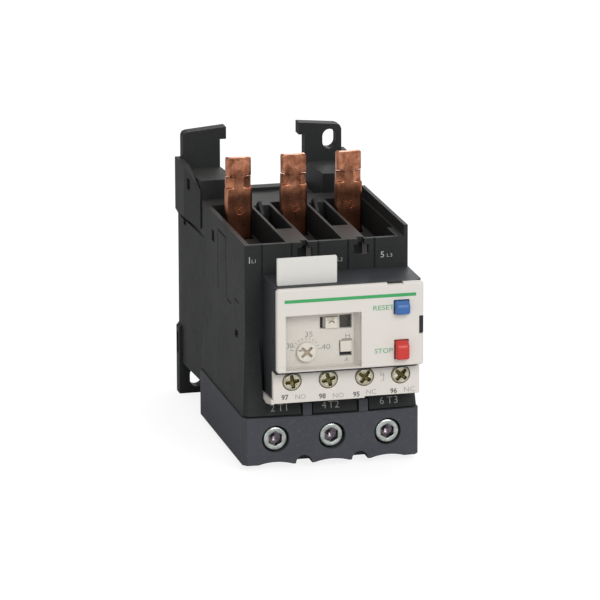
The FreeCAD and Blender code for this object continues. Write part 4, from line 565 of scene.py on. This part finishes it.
def button(name, look):
    # a cap whose upper half slants back, a flange behind the cover and a round plunger, as one loft
    low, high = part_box(name)
    face, tip = low.y / mm, high.y / mm
    x = (low.x + high.x) / 2 / mm
    z = (low.z + high.z) / 2 / mm
    half, tall = look["half"], look["tall"]
    foot, head, crest = -tall / 2, tall / 2, tall * look["crest"]
    collar = tall / 2 + 0.6
    rows = [
        (face, half - 0.75, foot + 0.7, crest - 0.45, 0.5),
        (face + 0.05, half - 0.4, foot + 0.38, crest - 0.1, 0.6),
        (face + 0.2, half - 0.13, foot + 0.14, crest + 0.25, 0.62),
        (face + 0.45, half, foot, crest + 0.65, 0.6),
        (face + look["slant"], half, foot, head - 0.12, 0.5),
        (face + look["slant"] + 0.25, half, foot, head, 0.45),
        (face + 4.35, half, foot, head, 0.4),
        (face + 4.4, half + 0.6, -collar, collar, 0.5),
        (face + 5.4, half + 0.6, -collar, collar, 0.5),
        (face + 5.45, 1.1, -1.1, 1.1, 1.1),
        (tip - 0.2, 1.1, -1.1, 1.1, 1.1),
        (tip, 0.9, -0.9, 0.9, 0.9),
    ]
    piece = meshPiece(name + "_form", loft(rows, x, z), materials[look["slot"]], name, 38)
    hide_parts(name)


button("reset_button", {"half": 2.15, "tall": 3.8, "crest": 0.16, "slant": 1.35, "slot": "reset_plastic"})
button("stop_button", {"half": 1.95, "tall": 5.5, "crest": 0.22, "slant": 1.5, "slot": "stop_plastic"})


def coil(x, z, radius, wire, start, end, turns):
    # round wire on a helix: the centre runs round the axis while y goes from start to end, and the section
    # is spanned by the radius direction and Y
    turn = np.linspace(0, 1, int(turns * 28))[:, None]
    angle = 2 * np.pi * turns * turn
    section = (np.arange(10) * 2 * np.pi / 10)[None, :]
    reach = radius + wire / 2 * np.cos(section)
    y = start + wire / 2 + (end - start - wire) * turn + wire / 2 * np.sin(section)
    return ringForm(np.stack([x + reach * np.cos(angle), y, z + reach * np.sin(angle)], axis=-1))


springLook = {"wire": 0.4, "turns": 6}
for kind, travel in (("reset", 3.0), ("stop", 2.5)):
    low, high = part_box(kind + "_spring")
    x, z, start, end = (low.x + high.x) / 2 / mm, (low.z + high.z) / 2 / mm, low.y / mm, high.y / mm
    radius = (high.z - low.z) / 2 / mm - springLook["wire"] / 2
    form = coil(x, z, radius, springLook["wire"], start, end, springLook["turns"])
    piece = meshPiece(kind + "_spring_form", form, materials["spring_steel"], "frame_body", 60)
    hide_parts(kind + "_spring")
    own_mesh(piece)
print("springs")


def dialForm(x, z, face, look):
    # head: a shallow disc whose face is cut by four arms, each narrower towards its outer end;
    # then the shaft and, off centre, the cam
    columns = 180
    angle = np.arange(columns) * 2 * np.pi / columns
    reach = np.concatenate([np.linspace(0.02, 2.7, 44), [2.8, 2.9, 2.97, 3.0]])[:, None]
    depth = 0.18 * smooth((reach - 2.75) / 0.25) ** 2 * np.ones((1, columns))
    for arm in look["arms"]:
        along = reach * np.cos(angle - math.radians(arm))
        aside = np.abs(reach * np.sin(angle - math.radians(arm)))
        inside = smooth((0.52 - 0.06 * along - aside) / 0.08) * (along > -0.2) * smooth((2.2 - along) / 0.15)
        depth = np.maximum(depth, look["deep"] * inside)
    radii = np.repeat(reach, columns, axis=1)
    disc = np.concatenate([radii, level(3.0, columns), level(1.5, columns), level(1.5, columns)])
    depths = np.concatenate([face + depth, level(face + 1.2, columns), level(face + 1.2, columns),
                             level(face + 6.85, columns)])
    cam = loft([(face + start, radius, -radius, radius, radius)
                for start, radius in ((2.85, 3.1), (2.95, 3.2), (3.95, 3.2), (4.05, 3.1))], x - 0.7, z)
    return combined([around(disc, depths, x, z), cam])


dialLook = {"arms": (42, 138, 222, 318), "deep": 0.75, "shade": shade(172, 158, 140)}
low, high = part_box("setting_dial")
dialX, dialZ, dialY = low.x / mm + 3.9, 39.0, low.y / mm
# painted shade: the faces sunk inside the four arms take a darker tan
groove = moulded("dial_groove", {"colour": dialLook["shade"], "rough": 0.6, "grain": 0.0003, "depth": 0.000006,
                                 "mottle": 0.03, "dust": 0.2, "edge": 0.0001})
piece = meshPiece("setting_dial_form", dialForm(dialX, dialZ, dialY, dialLook), materials["dial_plastic"],
                  "setting_dial", 40,
                  lambda centre: (centre[:, 1] > dialY + 0.25) & (centre[:, 1] < dialY + 1.1)
                  & (np.hypot(centre[:, 0] - dialX, centre[:, 2] - dialZ) < 2.6), groove)
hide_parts("setting_dial")


def slab(x0, x1, y0, y1, z0, z1, corner, edge):
    # a rounded block: rounded rectangles along Y, drawn in by the edge radius at both ends
    half, tall = (x1 - x0) / 2, (z1 - z0) / 2
    steps = [(0, 1), (0.3, 0.45), (1, 0)]
    rows = [(y0 + edge * run, half - edge * fall, -tall + edge * fall, tall - edge * fall, corner)
            for run, fall in steps]
    rows += [(y1 - edge * run, half - edge * fall, -tall + edge * fall, tall - edge * fall, corner)
             for run, fall in reversed(steps)]
    return loft(rows, (x0 + x1) / 2, (z0 + z1) / 2)


# painted shade: a dark brown for the line on the trip flag's rib and for a thin raised arc on the test slider
# that stands for a driver slit with no depth of its own
paintedSlitShade = moulded("slit_shade", {"colour": shade(88, 76, 62), "rough": 0.6, "grain": 0.0003,
                                   "depth": 0.000004, "mottle": 0.05, "dust": 0.2, "edge": 0.00005})
flag = {"body": (-0.15, 4.75, -44.4, -43.6, 42.75, 49.95), "rib": (2.0, 2.75, -44.45, -43.9, 45.4, 49.7)}
flagForm = meshPiece("trip_flag_form", slab(*flag["body"], 0.4, 0.12), materials["flag_plastic"], "trip_flag",
                     40)
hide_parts("trip_flag")
meshPiece("trip_flag_rib", slab(*flag["rib"], 0.2, 0.06), paintedSlitShade, "trip_flag", 40)
slit = arcStrip(-2.2, -48.5, 47.1, 0.95, 25, 155, 0.5, 0.03)
meshPiece("test_slider_painted_slit", slit, paintedSlitShade, "test_slider", 40)
print("buttons, dial and flag")

# print

inkLift = 0.02
inkThick = 0.03


def frontPlace(x, y, z):
    # text lying in XY turned to face -Y, its middle at the given point
    return Matrix.Translation((x * mm, (y - inkLift) * mm, z * mm)) @ Matrix.Rotation(math.pi / 2, 4, "X")


def slopePlace(x, z):
    # text on the skirt: the face leans back with height, and bows back towards the sides at its foot
    bow = max(abs(x) - 8.75, 0.0) * skirt["bow"]
    rise = (z - skirt["foot"]) / skirt["rise"]
    y = skirt["front"] + bow + (skirt["back"] - skirt["front"] - bow) * rise
    along = Vector((1.0, math.copysign(skirt["bow"] * (1 - rise), x) if bow else 0.0, 0.0)).normalized()
    up = Vector((0.0, (skirt["back"] - skirt["front"] - bow) / skirt["rise"], 1.0)).normalized()
    out = along.cross(up).normalized()
    axes = Matrix((along, out.cross(along), out)).transposed().to_4x4()
    return Matrix.Translation(Vector((x, y, z)) * mm + out * inkLift * mm) @ axes


def letterMesh(text, height, stretch=1.0, weight=0.0):
    # outline letters as a thin mesh, centred on the origin, height being a capital's
    font = bpy.data.curves.new("letters", "FONT")
    font.body = text
    font.size = height * mm / 0.72
    font.align_x = "CENTER"
    font.align_y = "CENTER"
    font.extrude = inkThick * mm / 2
    font.offset = weight * mm
    font.resolution_u = 3
    holder = bpy.data.objects.new("letters", font)
    bpy.context.scene.collection.objects.link(holder)
    bpy.context.view_layer.update()
    mesh = bpy.data.meshes.new_from_object(holder.evaluated_get(bpy.context.evaluated_depsgraph_get()))
    bpy.data.objects.remove(holder)
    mesh.transform(Matrix.Diagonal((stretch, 1.0, 1.0, 1.0)))
    return mesh


def lettering(name, marks, material, body):
    # one piece made of several marks: (text, height, place matrix, stretch, weight)
    whole = bpy.data.meshes.new(name)
    points, faces = [], []
    for text, height, place, stretch, weight in marks:
        part = letterMesh(text, height, stretch, weight)
        part.transform(place)
        start = len(points)
        points += [tuple(vertex.co) for vertex in part.vertices]
        faces += [[start + index for index in polygon.vertices] for polygon in part.polygons]
        bpy.data.meshes.remove(part)
    whole.from_pydata(points, [], faces)
    whole.materials.append(material)
    piece = bpy.data.objects.new(name, whole)
    bpy.context.scene.collection.objects.link(piece)
    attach(piece, body)


def barMark(corners, y):
    # a printed patch on a face that looks to -Y, from its four corners in XZ
    points = [(x, y - inkLift - inkThick, z) for x, z in corners] + [(x, y - inkLift, z) for x, z in corners]
    faces = [[0, 1, 2, 3], [7, 6, 5, 4]] + [[i, i + 4, (i + 1) % 4 + 4, (i + 1) % 4] for i in range(4)]
    return points, faces


def upright(x0, x1, z0, z1, y):
    return barMark([(x0, z0), (x1, z0), (x1, z1), (x0, z1)], y)


def spoke(angle, inner, outer, width, y):
    # a thin printed bar pointing away from the dial's centre
    out = np.array([math.cos(math.radians(angle)), math.sin(math.radians(angle))])
    side = np.array([-out[1], out[0]]) * width / 2
    centre = np.array([dialX, dialZ])
    return barMark([tuple(centre + out * inner - side), tuple(centre + out * outer - side),
                    tuple(centre + out * outer + side), tuple(centre + out * inner + side)], y)


coverLow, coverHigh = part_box("front_cover")
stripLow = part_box("terminal_strip")[0]
coverY = coverLow.y / mm
floorY = coverY + 4.5
stripY = stripLow.y / mm + 1.3
wallY = -33.3
skirt = {"foot": 16.6, "rise": 24.0, "front": -39.8, "back": -33.3, "bow": 0.0504}
stripe = {"left": coverLow.x / mm + 2.4, "right": coverHigh.x / mm - 2.4, "foot": 55.4, "head": 56.4}
meshPiece("cover_stripe", upright(stripe["left"], stripe["right"], stripe["foot"], stripe["head"], coverY),
          inks["green"], "frame_body")
lettering("cover_words", [
    ("RESET", 1.5, frontPlace(12.9, coverY, 52.2), 1.2, 0.02),
    ("STOP", 1.5, frontPlace(12.95, coverY, 38.8), 1.14, 0.02),
], inks["pale_green"], "frame_body")
spokes = [spoke(172 - index * 16.4, 3.75, 4.9 if index % 5 == 0 else 4.45, 0.17, floorY) for index in range(11)]
meshPiece("dial_pointer", spoke(162, 1.75, 2.7, 0.34, dialY), inks["dark"], "setting_dial")
meshPiece("dial_ticks", combined(spokes), inks["grey"], "frame_body")
lettering("dial_numbers", [
    ("30", 1.65, frontPlace(-14.95, floorY, 41.0), 0.95, 0.0),
    ("35", 1.7, frontPlace(-9.05, floorY, 44.2), 1.1, 0.0),
    ("40", 1.7, frontPlace(-3.8, floorY, 40.0), 1.2, 0.0),
    ("H", 1.35, frontPlace(2.95, floorY, 43.0), 1.3, 0.0),
    ("A", 1.35, frontPlace(2.62, floorY, 35.6), 1.0, 0.0),
], inks["grey"], "frame_body")
meshPiece("recess_lines", combined([
    upright(1.1, 4.15, 41.95, 42.2, floorY), upright(0.3, 0.42, 38.6, 41.0, floorY),
]), inks["dark"], "frame_body")
lettering("strip_numbers", [
    (text, 1.55, frontPlace(x, stripY, z), 1.0, 0.05)
    for text, x, z in (("97", -16.4, 24.85), ("98", -4.8, 24.5), ("95", 5.8, 24.35), ("96", 17.4, 24.65))
], inks["dark"], "frame_body")
lettering("strip_kinds", [
    (text, 1.55, frontPlace(x, stripY, z), stretch, -0.02)
    for text, x, z, stretch in (("NO", -11.6, 24.8, 1.0), ("NO", 0.1, 24.4, 1.05), ("NC", 10.4, 24.8, 1.05),
                                ("NC", 22.3, 24.8, 1.15))
], inks["grey"], "frame_body")
meshPiece("strip_marks", combined([
    upright(13.3, 13.45, 29.9, 31.0, stripY), upright(13.3, 14.3, 29.8, 29.95, stripY),
    upright(14.2, 14.35, 28.2, 30.6, stripY), upright(13.4, 14.25, 28.15, 28.3, stripY),
]), inks["grey"], "frame_body")
lettering("pole_numbers", [
    ("1", 2.15, frontPlace(-23.9, wallY, 64.4), 1.0, -0.02),
    ("L1", 1.2, frontPlace(-22.5, wallY, 64.1), 1.0, -0.02),
    ("3", 2.0, frontPlace(2.4, wallY, 63.3), 1.0, -0.02),
    ("L2", 1.15, frontPlace(4.2, wallY, 63.0), 1.15, -0.02),
    ("5", 1.9, frontPlace(17.45, wallY, 63.7), 1.1, 0.0),
    ("L3", 1.15, frontPlace(19.7, wallY, 63.4), 1.25, -0.02),
], inks["white"], "frame_body")
lettering("clamp_numbers", [
    (text, 2.25, slopePlace(x, 19.25), stretch, -0.02)
    for text, x, stretch in (("2", -18.2, 1.0), ("T1", -14.9, 1.05), ("4", -2.25, 1.0), ("T2", 0.75, 1.05),
                             ("6", 15.9, 1.0), ("T3", 19.3, 1.1))
], inks["faded"], "frame_body")
print("print")

# stage, light and camera


def stageFloor():
    mesh = bpy.data.meshes.new("floor")
    half = 3.0
    corners = [(-half, -half, 0), (half, -half, 0), (half, half, 0), (-half, half, 0)]
    mesh.from_pydata(corners, [], [(0, 1, 2, 3)])
    floor = bpy.data.objects.new("floor", mesh)
    bpy.context.scene.collection.objects.link(floor)
    s = Shader("floor")
    paper = s.noise(0.4, 2.0, 0.5)
    base = s.blend(paper, (0.78, 0.78, 0.78, 1.0), (0.8, 0.8, 0.8, 1.0))
    lit = s.node("ShaderNodeBsdfPrincipled", {},
                 {"Base Color": base, "Roughness": 0.9, "Specular IOR Level": 0.1})
    glow = s.node("ShaderNodeEmission", {}, {"Color": (1.0, 1.0, 1.0, 1.0), "Strength": 1.2})
    camera = s.node("ShaderNodeLightPath", {}, {}, "Is Camera Ray")
    mesh.materials.append(s.finish(s.node("ShaderNodeMixShader", {}, {0: camera * 0.7, 1: lit, 2: glow})))


def lamp(name, place, target, size, power, colour=(1.0, 1.0, 1.0)):
    light = bpy.data.lights.new(name, "AREA")
    light.shape = "RECTANGLE"
    light.size, light.size_y = size
    light.energy = power
    light.color = colour
    holder = bpy.data.objects.new(name, light)
    holder.location = place
    holder.rotation_euler = (Vector(target) - Vector(place)).to_track_quat("-Z", "Y").to_euler()
    bpy.context.scene.collection.objects.link(holder)


def setWorld():
    world = bpy.data.worlds.new("studio")
    bpy.context.scene.world = world
    world.use_nodes = True
    tree = world.node_tree
    tree.nodes.clear()
    path = tree.nodes.new("ShaderNodeLightPath")
    strength = tree.nodes.new("ShaderNodeMapRange")
    strength.inputs[3].default_value = 0.45
    strength.inputs[4].default_value = 1.1
    background = tree.nodes.new("ShaderNodeBackground")
    background.inputs["Color"].default_value = (1.0, 1.0, 1.0, 1.0)
    end = tree.nodes.new("ShaderNodeOutputWorld")
    tree.links.new(path.outputs["Is Camera Ray"], strength.inputs[0])
    tree.links.new(strength.outputs[0], background.inputs["Strength"])
    tree.links.new(background.outputs[0], end.inputs["Surface"])


def setCamera():
    # the camera stands to the left and above, far away with a long lens
    camera = bpy.data.cameras.new("camera")
    camera.sensor_width = 36.0
    camera.lens = 307.03
    camera.clip_start, camera.clip_end = 0.1, 20.0
    yaw, pitch, roll = 0.2385, 0.2591, -0.0026
    right = Vector((math.cos(yaw), -math.sin(yaw), 0))
    view = Vector((math.sin(yaw) * math.cos(pitch), math.cos(yaw) * math.cos(pitch), -math.sin(pitch)))
    up = right.cross(view)
    turned = right * math.cos(roll) + up * math.sin(roll)
    up = up * math.cos(roll) - right * math.sin(roll)
    axes = Matrix((turned, up, -view)).transposed().to_4x4()
    holder = bpy.data.objects.new("camera", camera)
    holder.matrix_world = Matrix.Translation((-0.361647, -1.48678, 0.447652)) @ axes
    bpy.context.scene.collection.objects.link(holder)
    bpy.context.scene.camera = holder


stageFloor()
setWorld()
setCamera()
middle = (0.0, 0.0, 0.045)
lamp("key", (0.25, -1.25, 0.85), middle, (0.8, 0.7), 11.5)
lamp("fill", (-0.75, -1.1, 0.35), middle, (0.6, 0.6), 1.6)
lamp("top", (0.1, 0.25, 1.2), middle, (0.9, 0.9), 2.5)
lamp("rear", (0.7, 1.3, 0.7), middle, (0.9, 0.7), 7.0)
bpy.context.scene.view_settings.view_transform = "Standard"
print("stage")
